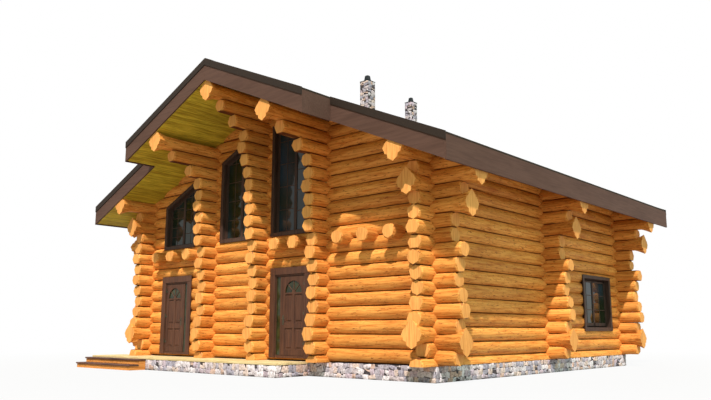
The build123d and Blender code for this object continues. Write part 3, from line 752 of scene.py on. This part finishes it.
ROUGH = 0.065
DOOR_HALF = 0.63
DOOR_LOW = PLINTH_TOP + 0.07
DOOR_HIGH = PLINTH_TOP + 2.385
HOLE_HALF = 0.5
FRONT_Y = -4.87
BACK_Y = 5.95
front_windows = window_places("front_window_frames", 0)
back_windows = window_places("back_window_frames", 0)
side_windows = window_places("side_window_frames", 1)
door_middles = [(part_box(node)[0][0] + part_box(node)[1][0]) / 2
                for node in ("door_frame_left", "door_frame_right")]
front_holes = [block(set_in(place, ROUGH), FRONT_Y - HOLE_HALF, FRONT_Y + HOLE_HALF)
               for place in front_windows]
front_holes += [block([(x - DOOR_HALF, DOOR_LOW), (x + DOOR_HALF, DOOR_LOW),
                       (x + DOOR_HALF, DOOR_HIGH), (x - DOOR_HALF, DOOR_HIGH)],
                      FRONT_Y - HOLE_HALF, FRONT_Y + HOLE_HALF) for x in door_middles]
back_holes = [block(set_in(place, ROUGH), BACK_Y - HOLE_HALF, BACK_Y + HOLE_HALF)
              for place in back_windows]
side_hole = block(set_in(side_windows[0], ROUGH), -7, 7)
side_hole.data.transform(Matrix(((0, 1, 0, 0), (1, 0, 0, 0), (0, 0, 1, 0), (0, 0, 0, 1))))
side_hole.data.flip_normals()


def let_in(axis, height, start, end):
    """Ends of a wall's log, drawn on into the logs that cross it and, in a gable, up to the roof."""
    if axis == "y":
        return (start - (LET_IN if start > FRONT_Y else 0), end + (LET_IN if end < BACK_Y else 0))
    if height > EAVE_TOP_Z:
        start -= TO_ROOF if start < -WALL_X else 0
        end += TO_ROOF if end > WALL_X else 0
    start -= LET_IN if start > -WALL_X - TO_ROOF else 0
    end += LET_IN if end < WALL_X + TO_ROOF else 0
    return start, end


def log_stack(name, nodes, axis, holes=()):
    """All logs of some CAD nodes as one piece that stands for them."""
    logs = []
    for node in nodes:
        for corners in loose_solids(node):
            line, height, start, end, flared = read_log(corners, axis)
            if nodes[0].endswith("_wall_logs"):
                start, end = let_in(axis, height, start, end)
            log = laid_log(axis, line, height, start, end, flared)
            under_roof(log)
            if height - FLAT < PLINTH_TOP:
                saw(log, (0, 0, PLINTH_TOP), (0, 0, -1))
            for hole in holes:
                cut_out(log, hole)
            logs.append(log)
    stack = joined(name, logs)
    # Joist ends stand alone, so they get no painted seam shade.
    if "joist" in name:
        stack.data.attributes.remove(stack.data.attributes["seam_shade"])
    bpy.ops.object.shade_smooth_by_angle(angle=radians(22))
    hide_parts(*nodes)
    return stack


log_stack("front_logs", ("front_wall_logs", "front_gable_logs"), "x", front_holes)
log_stack("back_logs", ("back_wall_logs", "back_gable_logs"), "x", back_holes)
log_stack("left_logs", ("left_wall_logs",), "y", (side_hole,))
log_stack("right_logs", ("right_wall_logs",), "y", (side_hole,))
log_stack("front_cross_stacks", ("front_cross_logs",), "y")
log_stack("back_cross_stacks", ("back_cross_logs",), "y")
log_stack("side_cross_stacks", ("side_cross_logs",), "x")
log_stack("purlin_logs", ("ridge_purlin", "middle_purlins", "eave_purlins"), "y")
log_stack("joist_logs", ("floor_joists",), "y")
clear_away(*front_holes, *back_holes, side_hole)
for kinds in log_kinds.values():
    clear_away(*kinds)

# Floors.
# Plain boards lie on bearers downstairs and on the log joists upstairs. They show only
# through the windows and open doors.
floor_wood = timber("floor_wood", paint(206, 152, 96), paint(168, 112, 64), 1, 0.5)
dress("ground_floor", floor_wood)
dress("upper_floor", floor_wood)

# Roof.
# Narrow olive-varnished boards make the soffit. Above them lie the insulated rafters, then dark
# shingles in courses up the slope. Stained boards close the edges, with dark metal over them.
SOFFIT_PALE = paint(226, 204, 72)
SOFFIT_DEEP = paint(156, 136, 34)
SOFFIT_BOARD = 0.118
SHINGLE_PALE = paint(82, 66, 54)
SHINGLE_DEEP = paint(54, 44, 36)
SHINGLE_LONG = 0.34
SHINGLE_WIDE = 0.4
SHINGLE_T = 0.005
TAB_GAP = 0.004
LAP = 1.16
STAIN_PALE = paint(96, 70, 62)
STAIN_DEEP = paint(84, 60, 53)
METAL_DARK = paint(64, 48, 36)
RIDGE_GAP = 0.004
PITCH_COS = cos(atan2(SLOPE, 1))
WING_X = 3.87
WING_FRONT = FRONT_Y - 1.52
WING_EDGE = 0.067
ROOF_BUILD = 0.613
COVER_T = 0.05
COVER_EDGE = 0.021
SHINGLE_BED = 0.014
ROOF_TOP = SOFFIT_PEAK + ROOF_BUILD - SHINGLE_BED

soffit_wood = timber("soffit_wood", SOFFIT_PALE, SOFFIT_DEEP, 1, 0.55, 1.0, 0.3, 1.0)
roof_low, roof_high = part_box("roof_boards")
cover_low, cover_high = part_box("roof_covers")


def soffit_board(side, near, far):
    """One board along the eave, laid on the slope between two distances from the ridge."""
    front = roof_low[1] if far < WING_X - WING_EDGE else WING_FRONT + WING_EDGE
    plank = board((near, front, 0), (far, roof_high[1], 0.02), soffit_wood, 0.005)
    for vert in plank.data.vertices:
        x = vert.co.x
        vert.co = (side * x, vert.co.y, vert.co.z + SOFFIT_PEAK - SLOPE * x + 0.001)
    if side < 0:
        plank.data.flip_normals()
    return plank


planks = []
for side in (-1, 1):
    for start, stop in ((RIDGE_GAP, WING_X - WING_EDGE), (WING_X - WING_EDGE, roof_high[0])):
        count = round((stop - start) / SOFFIT_BOARD)
        wide = (stop - start) / count
        for i in range(count):
            planks.append(soffit_board(side, start + i * wide + 0.001, start + (i + 1) * wide - 0.001))
soffit = joined("soffit_boards", planks)
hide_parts("roof_boards")

core_wood = timber("rafter_wood", paint(190, 160, 118), paint(150, 120, 84), 1, 0.8)
dress("roof_slopes", core_wood)


def grit_finish(name, pale, deep, roughness, scale, strength):
    finish, nodes, links, shader = new_finish(name, roughness)
    shader.inputs["Specular IOR Level"].default_value = 0.25
    grit = noise(nodes, links, scale, 8)
    own = ramp(nodes, links, tone(nodes), [(0, paint(190, 186, 182)), (1, WHITE)])
    surface = ramp(nodes, links, grit, [(0.3, deep), (0.7, pale)])
    links.new(mixed(nodes, links, "MULTIPLY", 1.0, surface, own), shader.inputs["Base Color"])
    relief(nodes, links, shader, grit, strength, 0.004)
    return finish


shingle_finish = grit_finish("shingle", SHINGLE_PALE, SHINGLE_DEEP, 0.9, 40, 0.5)


def shingle_strip(count, wide, run, shift):
    """One course of tabs side by side, each with a tone of its own."""
    strip = board((0, shift + TAB_GAP, 0), (run * LAP, shift + wide - TAB_GAP, SHINGLE_T), shingle_finish,
                  0.0015)
    corners = len(strip.data.vertices)
    fill = strip.modifiers.new("across", "ARRAY")
    fill.use_relative_offset = False
    fill.use_constant_offset = True
    fill.constant_offset_displace = (0, wide, 0)
    fill.count = count
    bpy.context.view_layer.objects.active = strip
    bpy.ops.object.modifier_apply(modifier="across")
    tones = [random.random() for tab in range(count) for corner in range(corners)]
    strip.data.attributes["tone"].data.foreach_set("value", tones)
    return strip


def shingle_field(side, reach, y0, y1):
    """Courses from the eave to the ridge, each lapped over the one below and shifted by half a tab."""
    rows = round(reach / (SHINGLE_LONG * PITCH_COS))
    run = reach / rows
    across = round((y1 - y0) / SHINGLE_WIDE)
    wide = (y1 - y0) / across
    strips = [shingle_strip(across, wide, run, 0), shingle_strip(across + 1, wide, run, -wide / 2)]
    courses = []
    for row in range(rows):
        course = placed("course", strips[row % 2].data.copy())
        for vert in course.data.vertices:
            x, y, z = vert.co
            from_ridge = min(reach, max(RIDGE_GAP, reach - run * (row + 1) + x))
            y = min(y1 - y0, max(0, y))
            lift = 0.001 + 0.005 * x / (run * LAP) + z
            vert.co = (side * from_ridge, y0 + y, ROOF_TOP - SLOPE * from_ridge + lift)
        if side < 0:
            course.data.flip_normals()
        courses.append(course)
    clear_away(*strips)
    return courses


def cover_sheet(side, near, far, y0, y1):
    """Underlay and battens below the shingles."""
    low, high = ROOF_BUILD - COVER_T, ROOF_BUILD - SHINGLE_BED
    under = block([(side * x, SOFFIT_PEAK - SLOPE * x + up)
                   for x, up in ((near, low), (far, low), (far, high), (near, high))], y0, y1)
    under.data.materials.append(shingle_finish)
    return under


covering = []
for side in (-1, 1):
    covering.append(cover_sheet(side, RIDGE_GAP, cover_high[0], WING_FRONT + COVER_EDGE, cover_high[1]))
    covering.append(cover_sheet(side, RIDGE_GAP, WING_X - COVER_EDGE, cover_low[1],
                                WING_FRONT + COVER_EDGE))
    covering += shingle_field(side, cover_high[0], WING_FRONT + COVER_EDGE, cover_high[1])
    covering += shingle_field(side, WING_X - COVER_EDGE, cover_low[1], WING_FRONT + COVER_EDGE)
shingles = joined("roof_shingles", covering)
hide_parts("roof_covers")

barge_stain = timber("barge_stain", STAIN_PALE, STAIN_DEEP, 0, 0.7, 0.8, 0.1)
dress("front_bargeboards", barge_stain)
dress("back_bargeboards", barge_stain)
dress("eave_fascias", timber("fascia_stain", STAIN_PALE, STAIN_DEEP, 1, 0.7, 0.8, 0.1))
dark_metal = grit_finish("dark_metal", METAL_DARK, paint(46, 35, 28), 0.7, 30, 0.1)
dress("gable_trim", dark_metal)
dress("ridge_cap", dark_metal)

# Chimneys.
# Two square shafts faced with rubble stone stand on the ridge. Each has a shallow metal tray and a
# tapered metal pot with a square flue.
CHIMNEY_STONE = 0.19
CHIMNEY_PROUD = 0.006
for corners in loose_solids("chimney_stacks"):
    low, high = box_of(corners)
    name = "chimney_stones_front" if low[1] < 1 else "chimney_stones_back"
    shaft = joined(name, stone_box(low, high, "frbl", CHIMNEY_STONE, CHIMNEY_PROUD))
dress("chimney_stacks", mortar)
cap_metal = grit_finish("cap_metal", paint(44, 54, 58), paint(26, 34, 38), 0.4, 30, 0.1)
dress("chimney_caps", cap_metal)

# Windows.
# Each window is a dark-stained casing on the logs, a lining through the wall, and sashes
# with thin bars around reflecting glass that has painted shade and painted sky in its colour.
WINDOW_PALE = paint(84, 62, 54)
WINDOW_DEEP = paint(56, 42, 38)
CASING_W = 0.11
CASING_T = 0.035
SASH_W = 0.05
BAR_W = 0.022
WALL_HALF = 0.2
SASH_T = 0.056
PANE_T = 0.012

window_wood = timber("window_wood", WINDOW_PALE, WINDOW_DEEP, 2, 0.55, 0.8, 0.15)


def cloudy_finish(name, roughness, scale, detail, stops, socket, value, stretch=(1, 1, 1)):
    """Finish in colours that run into each other, with one more of its values set."""
    finish, nodes, links, shader = new_finish(name, roughness)
    shader.inputs[socket].default_value = value
    links.new(ramp(nodes, links, noise(nodes, links, scale, detail, stretch), stops),
              shader.inputs["Base Color"])
    return finish


# Painted reflection and shade: cloudy sky blue is painted sky, dark olive is the painted shade of the
# room behind.
glass_with_painted_sky = cloudy_finish("window_glass", 0.04, 0.5, 2,
                           [(0.38, paint(34, 40, 24)), (0.62, paint(46, 58, 74))],
                           "Specular IOR Level", 0.3)


def ring(points, width, y0, y1, finish, edge=0.004):
    """Four boards mitred round an outline, from y0 to y1."""
    boards = sheet(points, y0)
    open_whole()
    bpy.ops.mesh.inset(thickness=width)
    bpy.ops.mesh.delete(type="FACE")
    thicken(y1 - y0)
    eased = boards.modifiers.new("eased", "BEVEL")
    eased.width = edge
    eased.segments = 1
    eased.angle_limit = radians(50)
    bpy.ops.object.modifier_apply(modifier="eased")
    boards.data.materials.append(finish)
    return boards


def clipped(piece, place, inset):
    """Cuts a bar to the sloping head of a window."""
    a, b, sill, left, right = place
    fall = (right - left) / (b - a)
    head = set_in(place, inset)
    saw(piece, (head[3][0], 0, head[3][1]), (-fall, 0, 1))
    return piece


def sash(left, wide, sill, heads, glass_y, columns, rows, rail):
    """Ring, rails and bars of one sash, and its pane."""
    right = left + wide
    inner = (left, right, sill, *heads)
    y0, y1 = glass_y - SASH_T / 2, glass_y + SASH_T / 2
    wood = [ring(set_in(inner, 0.001), SASH_W, y0, y1, window_wood)]
    high = max(heads)
    if rail:
        for z0, z1 in ((sill + 0.01, sill + SASH_W + rail), (high - SASH_W - rail / 2, high - 0.01)):
            wood.append(board((left + 0.01, y0, z0), (right - 0.01, y1, z1), window_wood))
        inner = (left, right, sill + rail, heads[0] - rail / 2, heads[1] - rail / 2)
        high -= rail / 2

    def add_bar(x0, x1, z0, z1):
        bar = board((x0, glass_y - 0.014, z0), (x1, glass_y + 0.014, z1), window_wood)
        wood.append(clipped(bar, inner, SASH_W - 0.005))

    for c in range(1, columns):
        x = left + SASH_W + (wide - 2 * SASH_W) * c / columns
        add_bar(x - BAR_W / 2, x + BAR_W / 2, inner[2] + SASH_W - 0.005, high)
    step = (min(inner[3], inner[4]) - inner[2]) / rows
    z = inner[2] + step
    while z < high - 0.15:
        add_bar(left + SASH_W - 0.005, right - SASH_W + 0.005, z - BAR_W / 2, z + BAR_W / 2)
        z += step
    pane = block(set_in(inner, SASH_W - 0.006), glass_y - PANE_T / 2, glass_y + PANE_T / 2)
    pane.data.materials.append(glass_with_painted_sky)
    return wood, pane


def window(place, line, outward, sashes, columns, rows, rail=0.0):
    """Casing, lining, sashes and bars of one window, and its panes; it faces along Y."""
    face = line + outward * WALL_HALF
    glass_y = line + outward * 0.04
    wood = [ring(corners, width, y0, y1, window_wood) for corners, width, y0, y1 in (
        (set_in(place, 0), CASING_W, face + outward * 0.001, face + outward * CASING_T),
        (set_in(place, ROUGH + 0.002), CASING_W - ROUGH - 0.002, face, line - outward * WALL_HALF),
        (set_in(place, CASING_W - 0.002), 0.02, glass_y + outward * 0.03, glass_y + outward * 0.05))]
    near, far, sill, near_head, far_head = place
    fall = (far_head - near_head) / (far - near)
    drop = CASING_W * (1 + fall * fall) ** 0.5
    a, b = near + CASING_W, far - CASING_W
    wide = (b - a) / sashes
    panes = []
    for i in range(sashes):
        left = a + i * wide
        heads = [near_head + fall * (x - near) - drop for x in (left, left + wide)]
        more_wood, pane = sash(left, wide, sill + CASING_W, heads, glass_y, columns, rows, rail)
        wood += more_wood
        panes.append(pane)
    return wood, panes


def windows(name, places, line, outward, layout, turn=None):
    """A wall's windows, turned to the wall they stand in."""
    wood = []
    panes = []
    for place, counts in zip(places, layout):
        more_wood, more_panes = window(place, line, outward, *counts)
        wood += more_wood
        panes += more_panes
    if turn:
        for piece in wood + panes:
            piece.data.transform(turn)
            if turn.determinant() < 0:
                piece.data.flip_normals()
    frames = joined(name + "_frames", wood)
    glass = joined(name + "_panes", panes)
    return frames, glass


def stands_for(pieces, *nodes):
    for piece, node in zip(pieces, nodes):
        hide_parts(node)


def layout_of(places):
    """Sashes, columns of panes in a sash and rows of panes for each window of a wall."""
    return [(2, 2, 3) if abs(place[3] - place[4]) < 0.01 else (2, 2, 4) for place in places]


stands_for(windows("front_window", front_windows, FRONT_Y, -1, layout_of(front_windows)),
           "front_window_frames", "front_window_glass")
stands_for(windows("back_window", back_windows, BACK_Y, 1, layout_of(back_windows)),
           "back_window_frames", "back_window_glass")
TURN_RIGHT = Matrix(((0, -1, 0, WALL_X), (1, 0, 0, 0), (0, 0, 1, 0), (0, 0, 0, 1)))
TURN_LEFT = Matrix(((0, 1, 0, -WALL_X), (1, 0, 0, 0), (0, 0, 1, 0), (0, 0, 0, 1)))
right_pair = windows("right_window", side_windows[:1], 0, -1, [(2, 2, 3, 0.1)], TURN_RIGHT)
left_pair = windows("left_window", side_windows[:1], 0, -1, [(2, 2, 3, 0.1)], TURN_LEFT)
for pair in (right_pair, left_pair):
    stands_for(pair, "side_window_frames", "side_window_glass")

# Doors.
# Each entrance has a broad purple-brown casing, a narrow fixed side light and a panelled leaf
# with a half-round fanlight. The leaf hangs on three hinges and opens outwards.
DOOR_PALE = paint(94, 62, 48)
DOOR_DEEP = paint(68, 44, 36)
DOOR_CLEAR = 0.58
SILL_Z = DOOR_LOW + 0.06
HEAD_Z = PLINTH_TOP + 2.295
DOOR_CASING = 0.21
CASING_LIP = 0.01
JAMB_T = 0.048
JAMB_TOP = HEAD_Z + 0.088
MULLION_W = 0.05
LEAF_Y = FRONT_Y - 0.185
LEAF_T = 0.06
LEAF_WIDE = 0.905
HINGE_GAP = 0.005
STILE = 0.115
FAN_RADIUS = 0.335
FAN_DROP = 0.455
PANEL_ROWS = ((0.50, 1.265), (1.42, 1.99))
HINGE_HEIGHTS = (0.3, 1.1, 1.9)
HANDLE_Z = PLINTH_TOP + 1.09

door_wood = timber("door_wood", DOOR_PALE, DOOR_DEEP, 2, 0.5, 1.0, 0.2)


fan_glass = cloudy_finish("fan_glass", 0.08, 3, 3, [(0.35, paint(30, 34, 18)), (0.65, paint(56, 60, 34))],
                          "Specular IOR Level", 0.3)
steel = cloudy_finish("brushed_steel", 0.35, 1, 3, [(0.3, paint(66, 64, 52)), (0.7, paint(104, 102, 84))],
                      "Metallic", 0.9, (160, 160, 8))


def half_disc(x, z, radius, y0, y1, finish, sides=48):
    """The upper half of a disc that faces along Y."""
    bpy.ops.object.select_all(action="DESELECT")
    bpy.ops.mesh.primitive_cylinder_add(vertices=sides, radius=radius, depth=abs(y1 - y0),
                                        location=(x, (y0 + y1) / 2, z), rotation=(pi / 2, 0, 0))
    disc = bpy.context.object
    bpy.ops.object.transform_apply(location=True, rotation=True, scale=True)
    disc.data.materials.append(finish)
    saw(disc, (x, 0, z), (0, 0, -1))
    return disc


def arch(x, z, radius, width, y0, y1, finish):
    """Half-round moulding."""
    outer = half_disc(x, z, radius + width, y0, y1, finish)
    inner = half_disc(x, z, radius, y0 - 0.1, y1 + 0.1, finish)
    cut_out(outer, inner)
    clear_away(inner)
    return outer


def raised_panel(x0, x1, y, z0, z1):
    """A fielded panel: sunk at its edge, raised in its middle; y is the leaf's front face."""
    panel = board((x0, y + 0.018, z0), (x1, y + LEAF_T - 0.018, z1), door_wood, 0.002)
    for sign in (-1, 1):
        pick(panel, "FACE", lambda face: face.normal.y * sign > 0.9 and face.area > 0.01)
        bpy.ops.mesh.inset(thickness=0.009, depth=-0.008)
        bpy.ops.mesh.inset(thickness=0.028)
        bpy.ops.mesh.inset(thickness=0.02, depth=0.018)
        bpy.ops.object.mode_set(mode="OBJECT")
    return panel


def leaf_pieces(hinge_x, hand):
    """Stiles, rails, panels, fanlight and hinges of a leaf that reaches from its hinge."""
    def at(u):
        return hinge_x + hand * (HINGE_GAP + u)

    def part(u0, u1, z0, z1, finish=door_wood, near=0.0, far=LEAF_T):
        x0, x1 = sorted((at(u0), at(u1)))
        return board((x0, LEAF_Y + near, z0), (x1, LEAF_Y + far, z1), finish)

    low = SILL_Z + 0.006
    high = HEAD_Z - 0.006
    middle = LEAF_WIDE / 2
    fan_z = high - FAN_DROP
    wood = [part(0, STILE, low, high), part(LEAF_WIDE - STILE, LEAF_WIDE, low, high)]
    rails = [low, high - PANEL_ROWS[1][1], high - PANEL_ROWS[1][0], high - PANEL_ROWS[0][1],
             high - PANEL_ROWS[0][0], fan_z]
    for z0, z1 in zip(rails[::2], rails[1::2]):
        wood.append(part(STILE, LEAF_WIDE - STILE, z0, z1))
    for z0, z1 in zip(rails[1::2], rails[2::2]):
        wood.append(part(middle - 0.045, middle + 0.045, z0, z1))
        for u0, u1 in ((STILE, middle - 0.045), (middle + 0.045, LEAF_WIDE - STILE)):
            x0, x1 = sorted((at(u0), at(u1)))
            wood.append(raised_panel(x0, x1, LEAF_Y, z0, z1))
    crown = part(STILE, LEAF_WIDE - STILE, fan_z, high)
    void = half_disc(at(middle), fan_z - 0.001, FAN_RADIUS, LEAF_Y - 0.1, LEAF_Y + 0.2, door_wood)
    cut_out(crown, void)
    clear_away(void)
    wood.append(crown)
    wood.append(arch(at(middle), fan_z, FAN_RADIUS - 0.012, 0.03, LEAF_Y - 0.008, LEAF_Y + 0.012,
                     door_wood))
    wood.append(half_disc(at(middle), fan_z, 0.07, LEAF_Y + 0.006, LEAF_Y + 0.05, door_wood, 24))
    for angle in (45, 90, 135):
        ray = board((-0.011, LEAF_Y + 0.008, 0.02), (0.011, LEAF_Y + 0.048, FAN_RADIUS), door_wood)
        ray.data.transform(Matrix.Translation((at(middle), 0, fan_z))
                           @ Matrix.Rotation(radians(angle - 90), 4, "Y"))
        wood.append(ray)
    glass = half_disc(at(middle), fan_z, FAN_RADIUS + 0.004, LEAF_Y + 0.022, LEAF_Y + 0.034, fan_glass)
    return wood, [glass]


def rod(middle, radius, length, axis, sides, eased):
    """A round steel bar along axis 1 or 2, with its ends eased."""
    bpy.ops.object.select_all(action="DESELECT")
    bpy.ops.mesh.primitive_cylinder_add(vertices=sides, radius=radius, depth=length, location=middle,
                                        rotation=(pi / 2 if axis == 1 else 0, 0, 0))
    bar = bpy.context.object
    bpy.ops.object.transform_apply(location=True, rotation=True, scale=True)
    pick(bar, "FACE", lambda face: abs(face.normal[axis]) > 0.9)
    bpy.ops.mesh.bevel(offset=eased, segments=2, affect="EDGES")
    bpy.ops.object.mode_set(mode="OBJECT")
    bar.data.materials.append(steel)
    return bar


def hinge_barrels(hinge_x, hand, lift):
    """Knuckles of the three hinges, the fixed half above the moving half."""
    barrels = []
    pin_x = hinge_x + hand * HINGE_GAP / 2
    pin_y = LEAF_Y - 0.027
    for height in HINGE_HEIGHTS:
        z = SILL_Z + height + 0.03 + lift
        barrels.append(rod((pin_x, pin_y, z), 0.009, 0.06, 2, 20, 0.002))
        x0, x1 = sorted((pin_x, pin_x + hand * (0.012 if lift == 0 else -0.012)))
        back = LEAF_Y + (0.002 if lift == 0 else -0.014)
        barrels.append(board((x0, pin_y, z - 0.03), (x1, back, z + 0.03), steel, 0.002))
        if lift == 0:
            x0, x1 = sorted((hinge_x + hand * 0.006, hinge_x + hand * 0.072))
            barrels.append(board((x0, LEAF_Y - 0.006, z - 0.03), (x1, LEAF_Y + 0.002, z + 0.03),
                                 steel, 0.002))
    return barrels


def handle_pieces(hinge_x, hand):
    """Long plate, round neck and lever."""
    x = hinge_x + hand * (HINGE_GAP + LEAF_WIDE - 0.06)
    plate = board((x - 0.022, LEAF_Y - 0.009, HANDLE_Z - 0.13), (x + 0.022, LEAF_Y, HANDLE_Z + 0.13),
                  steel, 0.006)
    neck = rod((x, LEAF_Y - 0.03, HANDLE_Z + 0.04), 0.01, 0.045, 1, 24, 0.003)
    x0, x1 = sorted((x + hand * 0.01, x - hand * 0.12))
    lever = board((x0, LEAF_Y - 0.058, HANDLE_Z + 0.03), (x1, LEAF_Y - 0.042, HANDLE_Z + 0.05),
                  steel, 0.006)
    return [plate, neck, lever]


def frame_pieces(middle, hand):
    """Casing, jambs, sill, mullion, stops, side light sash and its pane."""
    left, right = middle - DOOR_CLEAR, middle + DOOR_CLEAR
    face = FRONT_Y - WALL_HALF
    back = FRONT_Y + WALL_HALF
    low = DOOR_LOW + 0.002
    casing = [board((x0, face - CASING_T, DOOR_LOW), (x1, face - 0.001, HEAD_Z + 0.04), door_wood, 0.006)
              for x0, x1 in ((left - DOOR_CASING, left - CASING_LIP),
                             (right + CASING_LIP, right + DOOR_CASING))]
    casing.append(board((left - DOOR_CASING, face - CASING_T, HEAD_Z + 0.041),
                        (right + DOOR_CASING, face - 0.001, HEAD_Z + 0.24), door_wood, 0.006))
    jambs = [board((x0, face, low), (x1, back, JAMB_TOP), door_wood)
             for x0, x1 in ((left - JAMB_T, left), (right, right + JAMB_T))]
    jambs.append(board((left, face, HEAD_Z), (right, back, JAMB_TOP), door_wood))
    jambs.append(board((left, face - 0.01, low), (right, back, SILL_Z), door_wood))
    hinge_x = middle - hand * DOOR_CLEAR
    near = hinge_x + hand * (HINGE_GAP + LEAF_WIDE + 0.008)
    x0, x1 = sorted((near, near + hand * MULLION_W))
    jambs.append(board((x0, LEAF_Y, SILL_Z), (x1, LEAF_Y + LEAF_T + 0.036, HEAD_Z), door_wood))
    stop_y = LEAF_Y + LEAF_T + 0.006
    for edge, way in ((hinge_x, hand), (near, -hand)):
        x0, x1 = sorted((edge, edge + way * 0.018))
        jambs.append(board((x0, stop_y, SILL_Z), (x1, stop_y + 0.03, HEAD_Z), door_wood, 0.002))
    x0, x1 = sorted((near + hand * MULLION_W, middle + hand * DOOR_CLEAR))
    light = (x0, x1, SILL_Z, HEAD_Z, HEAD_Z)
    centre = LEAF_Y + LEAF_T / 2
    jambs.append(ring(set_in(light, 0), 0.018, centre - 0.025, centre + 0.025, door_wood))
    pane = block(set_in(light, 0.015), centre - 0.006, centre + 0.006)
    pane.data.materials.append(fan_glass)
    return casing + jambs, pane


side_panes = []
for name, middle, hand in (("left", door_middles[0], 1), ("right", door_middles[1], -1)):
    hinge_x = middle - hand * DOOR_CLEAR
    wood, pane = frame_pieces(middle, hand)
    surround = joined("door_surround_" + name, wood + hinge_barrels(hinge_x, hand, 0.0615))
    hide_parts("door_frame_" + name)
    side_panes.append(pane)
    wood, glass = leaf_pieces(hinge_x, hand)
    leaf = joined("door_panels_" + name, wood + glass + hinge_barrels(hinge_x, hand, 0),
                  "door_" + name)
    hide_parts("door_leaf_" + name)
    lever = joined("door_lever_" + name, handle_pieces(hinge_x, hand), "door_" + name)
    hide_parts("door_handle_" + name)
side_lights = joined("side_light_panes", side_panes)
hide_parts("door_side_lights")
clear_away(*rubble)
